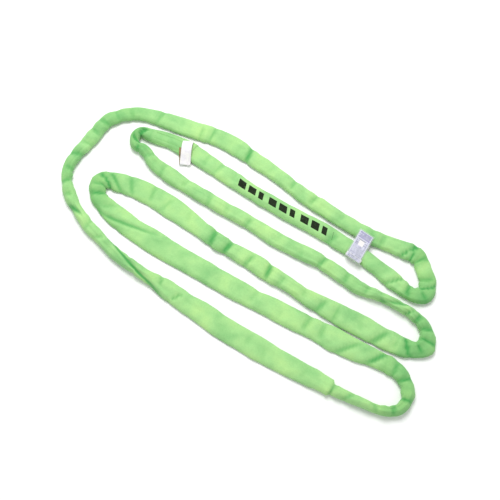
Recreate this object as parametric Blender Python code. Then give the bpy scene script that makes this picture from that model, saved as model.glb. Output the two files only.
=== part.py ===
"""Endless polyester round sling, 2 tonne class, laid down flat as a coil of six runs.

The sling is one closed strand: a hank of load yarn inside a woven tubular sleeve. The
strand leaves its closure along +X and comes back to it after three bights at each end.
Frame: metres, +Z up, +X along the runs, origin under the middle of the coil on the
surface it lies on.
"""
import math

import bmesh
import bpy
from mathutils import Vector

# ---------------------------------------------------------------- driving dimensions
FLAT_WIDTH = 0.060          # strand where the sleeve lies fully spread
FLAT_HEIGHT = 0.015
GATHERED_WIDTH = 0.028      # strand where it is bunched up, as in a bight
GATHERED_HEIGHT = 0.026
SLEEVE_WALL = 0.0012        # woven tube
CORE_CLEARANCE = 0.0015     # room between the yarn hank and the sleeve all round
FACE_GAP = 0.0003           # air kept between touching pieces

LAP_LENGTH = 0.120          # one sleeve end is tucked into the other over this length
ROW_START = 0.010           # closure stitch rows, measured from the lap's start
ROW_LENGTH = 0.076
THREAD_WIDTH = 0.0012
THREAD_HEIGHT = 0.0006

BINDING_START = 0.040       # tape round the hank where the yarn ends are joined
BINDING_LENGTH = 0.030
BINDING_THICKNESS = 0.0008

TAG_START = 0.087           # white tag, measured from the lap's start
TAG_WIDTH = 0.030
TAG_THICKNESS = 0.0008
TAG_TAIL_LENGTH = 0.020
TAG_TAIL_DROP = 0.006       # how far the free end lies below its fold
TAG_FOLD_RADIUS = 0.0015

LABEL_CENTRE = 0.622        # identity label, measured from the lap's start
LABEL_WIDTH = 0.043         # along the strand
LABEL_LENGTH = 0.080        # across the strand, over the run beside it
LABEL_THICKNESS = 0.0016
LABEL_FILM = 0.0003         # each clear face of the pouch
LABEL_MARGIN = 0.003        # welded rim of the pouch
LABEL_FOLD_OVERHANG = 0.002
TONGUE_THICKNESS = 0.0009

SECTION_SIDES = 12
SECTION_POWER = 2.6         # 2 is an ellipse, larger is squarer
TURN_PER_RING = math.radians(24)
SHORTEST_RING_STEP = 0.009
WELD_DISTANCE = 0.000001

# Centreline of the strand as it lies: x, y, and how far the sleeve is spread, from
# 0 (bunched) to 1 (flat). It starts at the closure lap and runs round the whole loop.
ROUTE = (
    # second run, away from the closure
    (-0.376, 0.134, 0.34), (-0.345, 0.141, 0.58), (-0.305, 0.147, 0.62), (-0.265, 0.148, 0.62),
    (-0.200, 0.143, 0.62), (-0.110, 0.133, 0.52), (0.000, 0.128, 0.45), (0.100, 0.130, 0.52),
    (0.210, 0.126, 0.54), (0.300, 0.116, 0.52), (0.360, 0.104, 0.50),
    # upper bight at +X
    (0.401, 0.096, 0.32), (0.426, 0.113, 0.22), (0.425, 0.144, 0.42), (0.404, 0.171, 0.42),
    (0.374, 0.192, 0.42),
    # first run, back along the top
    (0.325, 0.190, 0.50), (0.250, 0.181, 0.47), (0.160, 0.183, 0.45), (0.075, 0.189, 0.50),
    (-0.040, 0.206, 0.55), (-0.150, 0.220, 0.66), (-0.230, 0.219, 0.72), (-0.310, 0.203, 0.74),
    (-0.388, 0.188, 0.68), (-0.445, 0.169, 0.48),
    # wide outer bight at -X
    (-0.482, 0.137, 0.34), (-0.501, 0.094, 0.30), (-0.504, 0.036, 0.33), (-0.507, -0.026, 0.18),
    (-0.496, -0.076, 0.12), (-0.463, -0.113, 0.08), (-0.421, -0.140, 0.15),
    # sixth run, along the bottom
    (-0.350, -0.170, 0.20), (-0.270, -0.190, 0.15), (-0.190, -0.200, 0.08), (-0.140, -0.200, 0.28),
    (-0.080, -0.204, 0.66), (0.010, -0.209, 0.90), (0.120, -0.211, 1.00), (0.230, -0.210, 0.92),
    (0.300, -0.208, 0.62), (0.375, -0.205, 0.20), (0.430, -0.198, 0.00),
    # lower bight at +X
    (0.480, -0.188, 0.00), (0.506, -0.170, 0.00), (0.515, -0.144, 0.05), (0.506, -0.117, 0.12),
    (0.483, -0.096, 0.28),
    # fifth run
    (0.441, -0.086, 0.58), (0.390, -0.091, 0.75), (0.290, -0.099, 0.95), (0.180, -0.107, 0.90),
    (0.060, -0.113, 0.85), (-0.060, -0.116, 0.90), (-0.180, -0.116, 0.95), (-0.270, -0.110, 1.00),
    (-0.337, -0.101, 0.85), (-0.382, -0.088, 0.52),
    # inner bight at -X
    (-0.405, -0.065, 0.38), (-0.399, -0.041, 0.50), (-0.361, -0.024, 0.84),
    # fourth run
    (-0.290, -0.012, 0.95), (-0.200, -0.015, 0.90), (-0.110, -0.025, 0.62), (-0.040, -0.033, 0.45),
    (0.050, -0.033, 0.60), (0.120, -0.037, 0.40), (0.180, -0.041, 0.35), (0.250, -0.040, 0.68),
    (0.340, -0.036, 0.84), (0.410, -0.032, 0.80), (0.454, -0.028, 0.60),
    # middle bight at +X
    (0.480, -0.013, 0.34), (0.486, 0.015, 0.34), (0.470, 0.038, 0.15), (0.430, 0.052, 0.00),
    # third run, back to the closure
    (0.355, 0.052, 0.00), (0.280, 0.047, 0.28), (0.190, 0.054, 0.28), (0.090, 0.052, 0.45),
    (-0.020, 0.053, 0.40), (-0.130, 0.054, 0.30), (-0.230, 0.057, 0.42), (-0.310, 0.066, 0.25),
    (-0.364, 0.083, 0.00),
    # small bight at -X, standing on its edge beside the closure
    (-0.393, 0.085, 0.00), (-0.411, 0.106, 0.00), (-0.403, 0.127, 0.02),
)

UP = Vector((0.0, 0.0, 1.0))
CURVE_STEPS = 24            # how finely the curve is measured between two route points


# ---------------------------------------------------------------- scene and materials
def clear_scene():
    for scene_object in list(bpy.data.objects):
        bpy.data.objects.remove(scene_object, do_unlink=True)


def make_material(name, colour, roughness, metallic=0.0, alpha=1.0):
    material = bpy.data.materials.new(name)
    material.use_nodes = True
    shader = material.node_tree.nodes["Principled BSDF"]
    shader.inputs["Base Color"].default_value = (*colour, 1.0)
    shader.inputs["Roughness"].default_value = roughness
    shader.inputs["Metallic"].default_value = metallic
    shader.inputs["Alpha"].default_value = alpha
    return material


def finish(bm, name, material):
    """Turn a bmesh into a named object whose faces point out."""
    bmesh.ops.recalc_face_normals(bm, faces=bm.faces)
    mesh = bpy.data.meshes.new(name)
    bm.to_mesh(mesh)
    bm.free()
    mesh.materials.append(material)
    mesh.shade_smooth()
    mesh.set_sharp_from_angle(angle=math.radians(40))
    piece = bpy.data.objects.new(name, mesh)
    bpy.context.scene.collection.objects.link(piece)
    return piece


# ---------------------------------------------------------------- the strand's route
def route_point(parameter):
    """Catmull-Rom point (x, y, spread) on the closed route."""
    first = math.floor(parameter)
    t = parameter - first
    before, start, end, after = (ROUTE[(first + shift) % len(ROUTE)] for shift in (-1, 0, 1, 2))
    blended = []
    for a, b, c, d in zip(before, start, end, after):
        cubic = -a + 3 * b - 3 * c + d
        square = 2 * a - 5 * b + 4 * c - d
        blended.append(0.5 * (2 * b + (c - a) * t + square * t ** 2 + cubic * t ** 3))
    return blended


class Strand:
    """The closed centreline, measured by its length from the start of the closure lap."""

    def __init__(self):
        count = len(ROUTE) * CURVE_STEPS
        self.parameters = [index / CURVE_STEPS for index in range(count + 1)]
        samples = [route_point(parameter) for parameter in self.parameters]
        self.lengths = [0.0]
        for (x0, y0, _), (x1, y1, _) in zip(samples, samples[1:]):
            self.lengths.append(self.lengths[-1] + math.hypot(x1 - x0, y1 - y0))
        self.length = self.lengths[-1]

    def parameter_at(self, distance):
        distance = distance % self.length
        low, high = 0, len(self.lengths) - 1
        while high - low > 1:
            middle = (low + high) // 2
            if self.lengths[middle] <= distance:
                low = middle
            else:
                high = middle
        share = (distance - self.lengths[low]) / (self.lengths[high] - self.lengths[low])
        return self.parameters[low] + share / CURVE_STEPS

    def frame_at(self, distance):
        """Centre on the floor, direction of travel, left-hand side, width and height."""
        parameter = self.parameter_at(distance)
        x, y, spread = route_point(parameter)
        ahead = route_point(parameter + 0.01)
        behind = route_point(parameter - 0.01)
        travel = Vector((ahead[0] - behind[0], ahead[1] - behind[1], 0.0)).normalized()
        spread = min(max(spread, 0.0), 1.0)
        width = GATHERED_WIDTH + spread * (FLAT_WIDTH - GATHERED_WIDTH)
        height = GATHERED_HEIGHT + spread * (FLAT_HEIGHT - GATHERED_HEIGHT)
        return Vector((x, y, 0.0)), travel, UP.cross(travel), width, height

    def ring_distances(self, needed):
        """Distances at which the strand gets a ring: the needed ones, the route's own
        points, and more where the route turns sharply."""
        wanted = []
        for index in range(len(ROUTE)):
            start = self.lengths[index * CURVE_STEPS]
            end = self.lengths[(index + 1) * CURVE_STEPS]
            turn = self.frame_at(start)[1].angle(self.frame_at(end - 1e-6)[1])
            steps = max(1, math.ceil(turn / TURN_PER_RING))
            wanted += [start + (end - start) * step / steps for step in range(steps)]
        needed = sorted(distance % self.length for distance in needed)
        for distance in wanted:
            if all(abs(distance - other) > SHORTEST_RING_STEP for other in needed):
                needed.append(distance)
        return sorted(needed)


# ---------------------------------------------------------------- strand cross-section
def corner_shape(corner):
    """Side and height of a section corner, each from -1 to 1; flat below and above."""
    angle = 2 * math.pi * (corner + 0.5) / SECTION_SIDES
    power = 2 / SECTION_POWER
    flat = math.cos(math.pi / SECTION_SIDES) ** power
    side = math.copysign(abs(math.cos(angle)) ** power, math.cos(angle))
    rise = math.copysign(abs(math.sin(angle)) ** power, math.sin(angle))
    return side, rise / flat


def corner_point(frame, corner, inset):
    """Corner of the strand's section, set in from its surface by a distance."""
    centre, _, side, width, height = frame
    across, rise = corner_shape(corner)
    middle = height / 2
    return centre + side * across * (width / 2 - inset) + UP * (middle + rise * (middle - inset))


def add_ring(bm, points):
    """Closed loop of new vertices and edges through the points."""
    verts = [bm.verts.new(point) for point in points]
    edges = [bm.edges.new((verts[index - 1], verts[index])) for index in range(len(verts))]
    return verts, edges


def extrude_ring(bm, verts, edges, points):
    """Extrude a ring and move its new vertices to the points, kept in the same order."""
    extruded = bmesh.ops.extrude_edge_only(bm, edges=edges)["geom"]
    new_verts = {item for item in extruded if isinstance(item, bmesh.types.BMVert)}
    moved = []
    for vert, point in zip(verts, points):
        copy = next(edge.other_vert(vert) for edge in vert.link_edges if edge.other_vert(vert) in new_verts)
        copy.co = point
        moved.append(copy)
    moved_set = set(moved)
    kept = [item for item in extruded if isinstance(item, bmesh.types.BMEdge) and set(item.verts) <= moved_set]
    return moved, kept


def skin(bm, sections):
    """Extrude the first outline through all the others; gives the two end loops of edges."""
    verts, first_edges = add_ring(bm, sections[0])
    edges = first_edges
    for points in sections[1:]:
        verts, edges = extrude_ring(bm, verts, edges, points)
    return first_edges, edges


def full_section(frame, inset):
    return [corner_point(frame, corner, inset) for corner in range(SECTION_SIDES)]


def make_ring_solid(sections, name, material):
    """Closed solid skinned once round through the outlines and back to the first one."""
    bm = bmesh.new()
    skin(bm, sections + sections[:1])
    bmesh.ops.remove_doubles(bm, verts=bm.verts, dist=WELD_DISTANCE)
    return finish(bm, name, material)


def make_bar(sections, name, material):
    """Solid skinned through outlines, with a face on each end."""
    bm = bmesh.new()
    first_edges, last_edges = skin(bm, sections)
    bmesh.ops.holes_fill(bm, edges=first_edges, sides=0)
    bmesh.ops.holes_fill(bm, edges=last_edges, sides=0)
    return finish(bm, name, material)


def make_shell_tube(outer_sections, inner_sections, name, material):
    """Tube with a wall, open at both ends: out along its outer face, back along its bore."""
    return make_ring_solid(outer_sections + inner_sections[::-1], name, material)


# ---------------------------------------------------------------- sleeve and core
LAP_INSET = SLEEVE_WALL + FACE_GAP


def make_sleeve(strand, rings, material):
    """Tubular sleeve once round the loop, its far end lapped over its tucked-in start."""
    tucked = [(distance, LAP_INSET) for distance in rings if distance <= LAP_LENGTH]
    round_the_loop = [(distance, 0.0) for distance in rings if distance > LAP_LENGTH]
    over = [(distance, 0.0) for distance, _ in tucked]
    outer, inner = [], []
    for distance, inset in tucked + round_the_loop + over:
        frame = strand.frame_at(distance)
        outer.append(full_section(frame, inset))
        inner.append(full_section(frame, inset + SLEEVE_WALL))
    return make_shell_tube(outer, inner, "sleeve", material)


def core_inset(distance):
    """How far the hank's surface lies inside the strand's surface."""
    return SLEEVE_WALL + CORE_CLEARANCE + (LAP_INSET if distance <= LAP_LENGTH else 0.0)


def make_core(strand, rings, material):
    sections = [full_section(strand.frame_at(distance), core_inset(distance)) for distance in rings]
    return make_ring_solid(sections, "core_hank", material)


def make_core_binding(strand, rings, material):
    end = BINDING_START + BINDING_LENGTH
    frames = [strand.frame_at(distance) for distance in rings if BINDING_START <= distance <= end]
    bore = core_inset(BINDING_START) - FACE_GAP
    outer = [full_section(frame, bore - BINDING_THICKNESS) for frame in frames]
    inner = [full_section(frame, bore) for frame in frames]
    return make_shell_tube(outer, inner, "core_binding", material)


# ---------------------------------------------------------------- stitching
def thread_section(frame, corner, lift):
    """Outline of a row of stitches standing just off one edge of the section."""
    foot = corner_point(frame, corner, 0.0)
    centre, _, side, _, height = frame
    out = (side * corner_shape(corner)[0] + UP * corner_shape(corner)[1]).normalized()
    along = out.cross(frame[1])
    foot += out * (lift + FACE_GAP)
    half = along * THREAD_WIDTH / 2
    top = out * THREAD_HEIGHT
    return [foot - half, foot + half, foot + half + top, foot - half + top]


def make_thread_row(strand, rings, start, end, corner, lift, name, material):
    frames = [strand.frame_at(distance) for distance in rings if start <= distance <= end]
    return make_bar([thread_section(frame, corner, lift) for frame in frames], name, material)


# ---------------------------------------------------------------- sewn-on strips
def strip_section(frame, corners, lift, thickness):
    """Outline of a strip that hugs part of the section, from its foot to its outer face."""
    under = [corner_point(frame, corner, -lift) for corner in corners]
    over = [corner_point(frame, corner, -lift - thickness) for corner in corners]
    return under + over[::-1]


def make_strip(strand, rings, start, end, corners, thickness, name, material):
    frames = [strand.frame_at(distance) for distance in rings if start <= distance <= end]
    sections = [strip_section(frame, corners, FACE_GAP, thickness) for frame in frames]
    return make_bar(sections, name, material)


def make_slab(corner, edges, name, material):
    """Box that stands on three edges from one corner."""
    along, across, thick = edges
    base = [corner, corner + along, corner + along + across, corner + across]
    return make_bar([base, [point + thick for point in base]], name, material)


# ---------------------------------------------------------------- white tag
NEAR_SHOULDER = 4           # section corners on the right-hand side of the strand
NEAR_SIDE = 5
NEAR_SIDE_LOW = 6
FAR_SHOULDER = 1


def make_tag(strand, rings, tape, thread):
    """Tape over the strand's back, with a free end folded at its near side."""
    end = TAG_START + TAG_WIDTH
    corners = list(range(FAR_SHOULDER, NEAR_SIDE + 1))
    make_strip(strand, rings, TAG_START, end, corners, TAG_THICKNESS, "tag_band", tape)
    make_thread_row(
        strand, rings, TAG_START, end, FAR_SHOULDER + 1, FACE_GAP + TAG_THICKNESS, "tag_stitch_1", thread
    )
    middle = strand.frame_at(TAG_START + TAG_WIDTH / 2)
    centre, travel, side, width, height = middle
    fold = centre - side * (width / 2 + FACE_GAP + TAG_THICKNESS + TAG_FOLD_RADIUS) + UP * height / 2
    reach = math.sqrt(TAG_TAIL_LENGTH ** 2 - TAG_TAIL_DROP ** 2)
    outward = (-side * reach - UP * TAG_TAIL_DROP).normalized()
    thick = outward.cross(travel).normalized() * TAG_THICKNESS
    if thick.z < 0:
        thick = -thick
    corner = fold - travel * TAG_WIDTH / 2
    edges = (travel * TAG_WIDTH, outward * TAG_TAIL_LENGTH, thick)
    tail = make_slab(corner, edges, "tag_tail", tape)
    return tail, fold, travel


# ---------------------------------------------------------------- identity label
def label_level(strand):
    """Height that clears every run under the label."""
    start, end = LABEL_CENTRE - LABEL_WIDTH / 2, LABEL_CENTRE + LABEL_WIDTH / 2
    centre, _, side, width, _ = strand.frame_at(LABEL_CENTRE)
    far = centre + side * (LABEL_LENGTH - width / 2)
    tops = []
    for step in range(int(strand.length / LABEL_THICKNESS)):
        distance = step * LABEL_THICKNESS
        point, _, _, _, height = strand.frame_at(distance)
        beside = (point - far).length < LABEL_WIDTH
        if beside or start <= distance <= end:
            tops.append(height)
    return max(tops) + FACE_GAP


def make_label(strand, rings, film, paper, tape, thread):
    """Clear pouch with a printed insert, folded over from a tongue sewn to the sleeve."""
    start, end = LABEL_CENTRE - LABEL_WIDTH / 2, LABEL_CENTRE + LABEL_WIDTH / 2
    tongue_corners = [NEAR_SHOULDER, NEAR_SIDE, NEAR_SIDE_LOW]
    make_strip(strand, rings, start, end, tongue_corners, TONGUE_THICKNESS, "label_tongue", tape)
    for number, corner in enumerate((NEAR_SIDE, NEAR_SIDE_LOW), start=1):
        make_thread_row(
            strand, rings, start, end, corner, FACE_GAP + TONGUE_THICKNESS, f"label_stitch_{number}", thread
        )

    centre, travel, side, width, _ = strand.frame_at(LABEL_CENTRE)
    near_edge = width / 2 + LABEL_FOLD_OVERHANG
    fold = centre - side * near_edge + UP * label_level(strand)
    corner = fold - travel * LABEL_WIDTH / 2
    edges = (travel * LABEL_WIDTH, side * LABEL_LENGTH, UP * LABEL_THICKNESS)
    cover = make_slab(corner, edges, "label_cover", film)

    pocket_corner = corner + travel * LABEL_MARGIN - side * LABEL_MARGIN + UP * LABEL_FILM
    pocket_width = LABEL_WIDTH - 2 * LABEL_MARGIN
    pocket_height = LABEL_THICKNESS - 2 * LABEL_FILM
    pocket_edges = (travel * pocket_width, side * LABEL_LENGTH, UP * pocket_height)
    cutter = make_slab(pocket_corner, pocket_edges, "pocket_cutter", film)
    cutter.hide_render = True
    cutter.display_type = "WIRE"
    pocket = cover.modifiers.new("pocket", "BOOLEAN")
    pocket.operation = "DIFFERENCE"
    pocket.solver = "EXACT"
    pocket.object = cutter

    insert_corner = corner + travel * (LABEL_MARGIN + FACE_GAP) + UP * (LABEL_FILM + FACE_GAP)
    insert_edges = (
        travel * (pocket_width - 2 * FACE_GAP),
        side * (LABEL_LENGTH - LABEL_MARGIN - FACE_GAP),
        UP * (pocket_height - 2 * FACE_GAP),
    )
    make_slab(insert_corner, insert_edges, "label_insert", paper)
    return fold, travel


# ---------------------------------------------------------------- the whole sling
def build():
    clear_scene()
    woven = make_material("woven_polyester_green", (0.36, 0.72, 0.26), 0.85)
    yarn = make_material("load_yarn_white", (0.80, 0.79, 0.72), 0.75)
    binding = make_material("binding_tape", (0.62, 0.60, 0.52), 0.70)
    green_thread = make_material("sewing_thread_green", (0.27, 0.58, 0.20), 0.70)
    white_thread = make_material("sewing_thread_white", (0.85, 0.85, 0.85), 0.70)
    white_tape = make_material("white_tag_tape", (0.88, 0.86, 0.86), 0.60)
    film = make_material("clear_vinyl_film", (0.75, 0.80, 0.78), 0.15)
    paper = make_material("printed_label_stock", (0.50, 0.50, 0.60), 0.55)

    strand = Strand()
    label_ends = (LABEL_CENTRE - LABEL_WIDTH / 2, LABEL_CENTRE, LABEL_CENTRE + LABEL_WIDTH / 2)
    feature_ends = (
        0.0, ROW_START, BINDING_START, BINDING_START + BINDING_LENGTH, ROW_START + ROW_LENGTH,
        TAG_START, TAG_START + TAG_WIDTH, LAP_LENGTH, *label_ends,
    )
    rings = strand.ring_distances(feature_ends)

    make_core(strand, rings, yarn)
    make_core_binding(strand, rings, binding)
    make_sleeve(strand, rings, woven)
    for number, corner in enumerate(range(FAR_SHOULDER, NEAR_SHOULDER + 1), start=1):
        make_thread_row(
            strand, rings, ROW_START, ROW_START + ROW_LENGTH, corner, 0.0,
            f"closure_stitch_{number}", green_thread,
        )
    make_tag(strand, rings, white_tape, white_thread)
    make_label(strand, rings, film, paper, white_tape, white_thread)
    return strand


build()
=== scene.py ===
"""Looks of a two tonne endless round sling, laid down as a flat coil of six runs.

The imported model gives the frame. The woven sleeve is swept along the strand's route,
draped over the yarn hank by a cloth simulation, and dressed with its closure seam, its
clear label pouch, its white tag and an ink print. Everything is in metres, +Z up.
"""
import logging
import math
from collections.abc import Callable
from dataclasses import dataclass, field

import bmesh
import bpy
import numpy as np
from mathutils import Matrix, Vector, noise
from mathutils.bvhtree import BVHTree


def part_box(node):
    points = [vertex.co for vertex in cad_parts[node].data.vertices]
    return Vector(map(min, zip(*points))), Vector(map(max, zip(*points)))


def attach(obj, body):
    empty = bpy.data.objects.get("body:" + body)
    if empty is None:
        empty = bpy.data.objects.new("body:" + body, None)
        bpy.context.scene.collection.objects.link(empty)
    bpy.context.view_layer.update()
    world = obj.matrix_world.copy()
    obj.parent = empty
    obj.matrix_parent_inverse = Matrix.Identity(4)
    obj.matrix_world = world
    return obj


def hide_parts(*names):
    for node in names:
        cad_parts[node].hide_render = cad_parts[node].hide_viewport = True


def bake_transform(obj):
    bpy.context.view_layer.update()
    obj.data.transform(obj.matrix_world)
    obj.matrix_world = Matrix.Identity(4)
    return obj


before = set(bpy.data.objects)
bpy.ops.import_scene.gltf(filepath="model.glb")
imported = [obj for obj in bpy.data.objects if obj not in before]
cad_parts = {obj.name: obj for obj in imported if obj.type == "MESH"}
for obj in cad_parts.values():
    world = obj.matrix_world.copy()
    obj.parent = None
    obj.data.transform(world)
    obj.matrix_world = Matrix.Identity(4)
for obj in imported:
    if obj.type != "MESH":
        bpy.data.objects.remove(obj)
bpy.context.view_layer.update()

LOG = logging.getLogger("round_sling")
UP = Vector((0.0, 0.0, 1.0))

Point = tuple[float, float, float]
Span = tuple[float, float]
Path = list[tuple[Vector, Vector]]
Node = bpy.types.Node
Socket = bpy.types.NodeSocket
Tree = bpy.types.NodeTree


def catmull_rom(near: tuple[float, ...] | tuple[Vector, ...], t: float) -> float | Vector:
    """Place at share t of the way between the middle two of four points on a smooth curve."""
    a, b, c, d = near
    cubic = -a + 3 * b - 3 * c + d
    square = 2 * a - 5 * b + 4 * c - d
    return 0.5 * (2 * b + (c - a) * t + square * t ** 2 + cubic * t ** 3)


# ------------------------------------------------------------------ the strand's route
class Route:
    """Centreline of the strand as it lies: x, y and spread, from 0 bunched to 1 flat."""

    POINTS: tuple[Point, ...] = (
        # second run, away from the closure
        (-0.376, 0.134, 0.34), (-0.345, 0.141, 0.58), (-0.305, 0.147, 0.62), (-0.265, 0.148, 0.62),
        (-0.200, 0.143, 0.62), (-0.110, 0.133, 0.52), (0.000, 0.128, 0.45), (0.100, 0.130, 0.52),
        (0.210, 0.126, 0.54), (0.300, 0.116, 0.52), (0.360, 0.104, 0.50),
        # upper bight at +X
        (0.401, 0.096, 0.32), (0.426, 0.113, 0.22), (0.425, 0.144, 0.42), (0.404, 0.171, 0.42),
        (0.374, 0.192, 0.42),
        # first run, back along the top
        (0.325, 0.190, 0.50), (0.250, 0.181, 0.47), (0.160, 0.183, 0.45), (0.075, 0.189, 0.50),
        (-0.040, 0.206, 0.55), (-0.150, 0.220, 0.66), (-0.230, 0.219, 0.72), (-0.310, 0.203, 0.74),
        (-0.388, 0.188, 0.68), (-0.445, 0.169, 0.48),
        # wide outer bight at -X
        (-0.482, 0.137, 0.34), (-0.501, 0.094, 0.30), (-0.504, 0.036, 0.33), (-0.507, -0.026, 0.18),
        (-0.496, -0.076, 0.12), (-0.463, -0.113, 0.08), (-0.421, -0.140, 0.15),
        # sixth run, along the bottom
        (-0.350, -0.170, 0.20), (-0.270, -0.190, 0.15), (-0.190, -0.200, 0.08), (-0.140, -0.200, 0.28),
        (-0.080, -0.204, 0.66), (0.010, -0.209, 0.90), (0.120, -0.211, 1.00), (0.230, -0.210, 0.92),
        (0.300, -0.208, 0.62), (0.375, -0.205, 0.20), (0.430, -0.198, 0.00),
        # lower bight at +X
        (0.480, -0.188, 0.00), (0.506, -0.170, 0.00), (0.515, -0.144, 0.05), (0.506, -0.117, 0.12),
        (0.483, -0.096, 0.28),
        # fifth run
        (0.441, -0.086, 0.58), (0.390, -0.091, 0.75), (0.290, -0.099, 0.95), (0.180, -0.107, 0.90),
        (0.060, -0.113, 0.85), (-0.060, -0.116, 0.90), (-0.180, -0.116, 0.95), (-0.270, -0.110, 1.00),
        (-0.337, -0.101, 0.85), (-0.382, -0.088, 0.52),
        # inner bight at -X
        (-0.405, -0.065, 0.38), (-0.399, -0.041, 0.50), (-0.361, -0.024, 0.84),
        # fourth run
        (-0.290, -0.012, 0.95), (-0.200, -0.015, 0.90), (-0.110, -0.025, 0.62), (-0.040, -0.033, 0.45),
        (0.050, -0.033, 0.60), (0.120, -0.037, 0.40), (0.180, -0.041, 0.35), (0.250, -0.040, 0.68),
        (0.340, -0.036, 0.84), (0.410, -0.032, 0.80), (0.454, -0.028, 0.60),
        # middle bight at +X
        (0.480, -0.013, 0.34), (0.486, 0.015, 0.34), (0.470, 0.038, 0.15), (0.430, 0.052, 0.00),
        # third run, back to the closure
        (0.355, 0.052, 0.00), (0.280, 0.047, 0.28), (0.190, 0.054, 0.28), (0.090, 0.052, 0.45),
        (-0.020, 0.053, 0.40), (-0.130, 0.054, 0.30), (-0.230, 0.057, 0.42), (-0.310, 0.066, 0.25),
        (-0.364, 0.083, 0.00),
        # small bight at -X, standing on its edge beside the closure
        (-0.393, 0.085, 0.00), (-0.411, 0.106, 0.00), (-0.403, 0.127, 0.02),
    )
    STEPS = 24

    def __init__(self) -> None:
        """Measure the closed curve once, from the start of the closure lap."""
        count = len(self.POINTS) * self.STEPS
        samples = [self.point_at(index / self.STEPS) for index in range(count + 1)]
        self.lengths = [0.0]
        for (x0, y0, _), (x1, y1, _) in zip(samples, samples[1:]):
            self.lengths.append(self.lengths[-1] + math.hypot(x1 - x0, y1 - y0))
        self.length = self.lengths[-1]

    def point_at(self, parameter: float) -> list[float]:
        """Catmull-Rom point on the closed route.

        Args:
            parameter: route point number, with the share of the way to the next one.

        Returns:
            x, y and spread.
        """
        first = math.floor(parameter)
        t = parameter - first
        near = [self.POINTS[(first + shift) % len(self.POINTS)] for shift in (-1, 0, 1, 2)]
        return [catmull_rom(values, t) for values in zip(*near)]

    def parameter_at(self, distance: float) -> float:
        """Route parameter at a distance along the strand from the lap's start."""
        distance %= self.length
        low, high = 0, len(self.lengths) - 1
        while high - low > 1:
            middle = (low + high) // 2
            if self.lengths[middle] <= distance:
                low = middle
            else:
                high = middle
        share = (distance - self.lengths[low]) / (self.lengths[high] - self.lengths[low])
        return (low + share) / self.STEPS


@dataclass
class Station:
    """One place along the strand: where it is, its directions and its section's size.

    turn is how sharply the centreline bends there, in radians a metre: above zero towards +side.
    """

    distance: float
    centre: Vector
    travel: Vector
    side: Vector
    width: float
    height: float
    spread: float
    turn: float

    def at(self, across: float, height: float) -> Vector:
        """Point at metres across from the centreline and metres above the ground."""
        return self.centre + self.side * across + UP * height


@dataclass
class Strand:
    """The strand's section along its route."""

    flat_width: float = 0.060
    flat_height: float = 0.015
    gathered_width: float = 0.028
    gathered_height: float = 0.026
    route: Route = field(default_factory=Route)
    bend_reach: float = 0.3
    travel_reach: float = 0.01

    @property
    def length(self) -> float:
        """Length once round the loop."""
        return self.route.length

    def station(self, distance: float) -> Station:
        """The strand at a distance from the lap's start.

        Args:
            distance: metres along the centreline, wrapped round the loop.

        Returns:
            The station there.
        """
        parameter = self.route.parameter_at(distance)
        x, y, spread = self.route.point_at(parameter)
        ahead = Vector(self.route.point_at(parameter + self.bend_reach)[:2])
        behind = Vector(self.route.point_at(parameter - self.bend_reach)[:2])
        here = Vector((x, y))
        turn = (here - behind).angle_signed(ahead - here) * -2 / (ahead - behind).length
        last = self.route.point_at(parameter - self.travel_reach)
        following = self.route.point_at(parameter + self.travel_reach)
        travel = Vector((following[0] - last[0], following[1] - last[1], 0.0)).normalized()
        spread = min(max(spread, 0.0), 1.0)
        width = self.gathered_width + spread * (self.flat_width - self.gathered_width)
        height = self.gathered_height + spread * (self.flat_height - self.gathered_height)
        return Station(distance, Vector((x, y, 0.0)), travel, UP.cross(travel), width, height, spread, turn)


# ------------------------------------------------------------------ small tools
def linear(hex_colour: str) -> tuple[float, float, float, float]:
    """Turn an sRGB hex colour into the linear RGBA that shaders take."""
    channels = []
    for start in (1, 3, 5):
        value = int(hex_colour[start:start + 2], 16) / 255
        channels.append(value / 12.92 if value <= 0.04045 else ((value + 0.055) / 1.055) ** 2.4)
    return (channels[0], channels[1], channels[2], 1.0)


def set_node(tree: Tree, node: Node, settings: dict) -> None:
    """Set a node's properties and inputs, and link the inputs that other nodes feed.

    Args:
        tree: the material's node tree.
        node: the node.
        settings: property names, or input names and numbers, each with its value, with the
            socket that feeds it, or with a node whose first output in use feeds it.
    """
    for name, value in settings.items():
        if isinstance(value, Node):
            value = next(output for output in value.outputs if output.enabled)
        if isinstance(value, Socket):
            tree.links.new(value, node.inputs[name])
        elif isinstance(name, int) or name in node.inputs:
            node.inputs[name].default_value = value
        else:
            setattr(node, name, value)


def add_node(tree: Tree, kind: str, settings: dict | None = None) -> Node:
    """Add one node; its kind is the type's name after ShaderNode, its settings as in set_node."""
    node = tree.nodes.new("ShaderNode" + kind)
    set_node(tree, node, settings or {})
    return node


def new_material(name: str) -> tuple[bpy.types.Material, Tree]:
    """Start a material; gives it and its node tree."""
    material = bpy.data.materials.new(name)
    material.use_nodes = True
    return material, material.node_tree


def map_axes(tree: Tree, uv_map: str) -> tuple[Socket, Socket]:
    """Metres along and metres across a piece, from its UV map."""
    place = add_node(tree, "UVMap", {"uv_map": uv_map})
    split = add_node(tree, "SeparateXYZ", {"Vector": place})
    return split.outputs["X"], split.outputs["Y"]


def finish_surface(tree: Tree, inputs: dict, height: Socket | Node, relief_mm: float,
                   strength: float) -> None:
    """Give the shader its inputs and its relief.

    Args:
        tree: the material's node tree.
        inputs: the shader's inputs, with values or with what feeds them.
        height: what the relief follows.
        relief_mm: how deep the relief is, in millimetres.
        strength: how much of it shows, from 0 to 1.
    """
    bump = add_node(tree, "Bump", {"Strength": strength, "Distance": relief_mm / 1000, "Height": height})
    set_node(tree, tree.nodes["Principled BSDF"], {**inputs, "Normal": bump})


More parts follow.
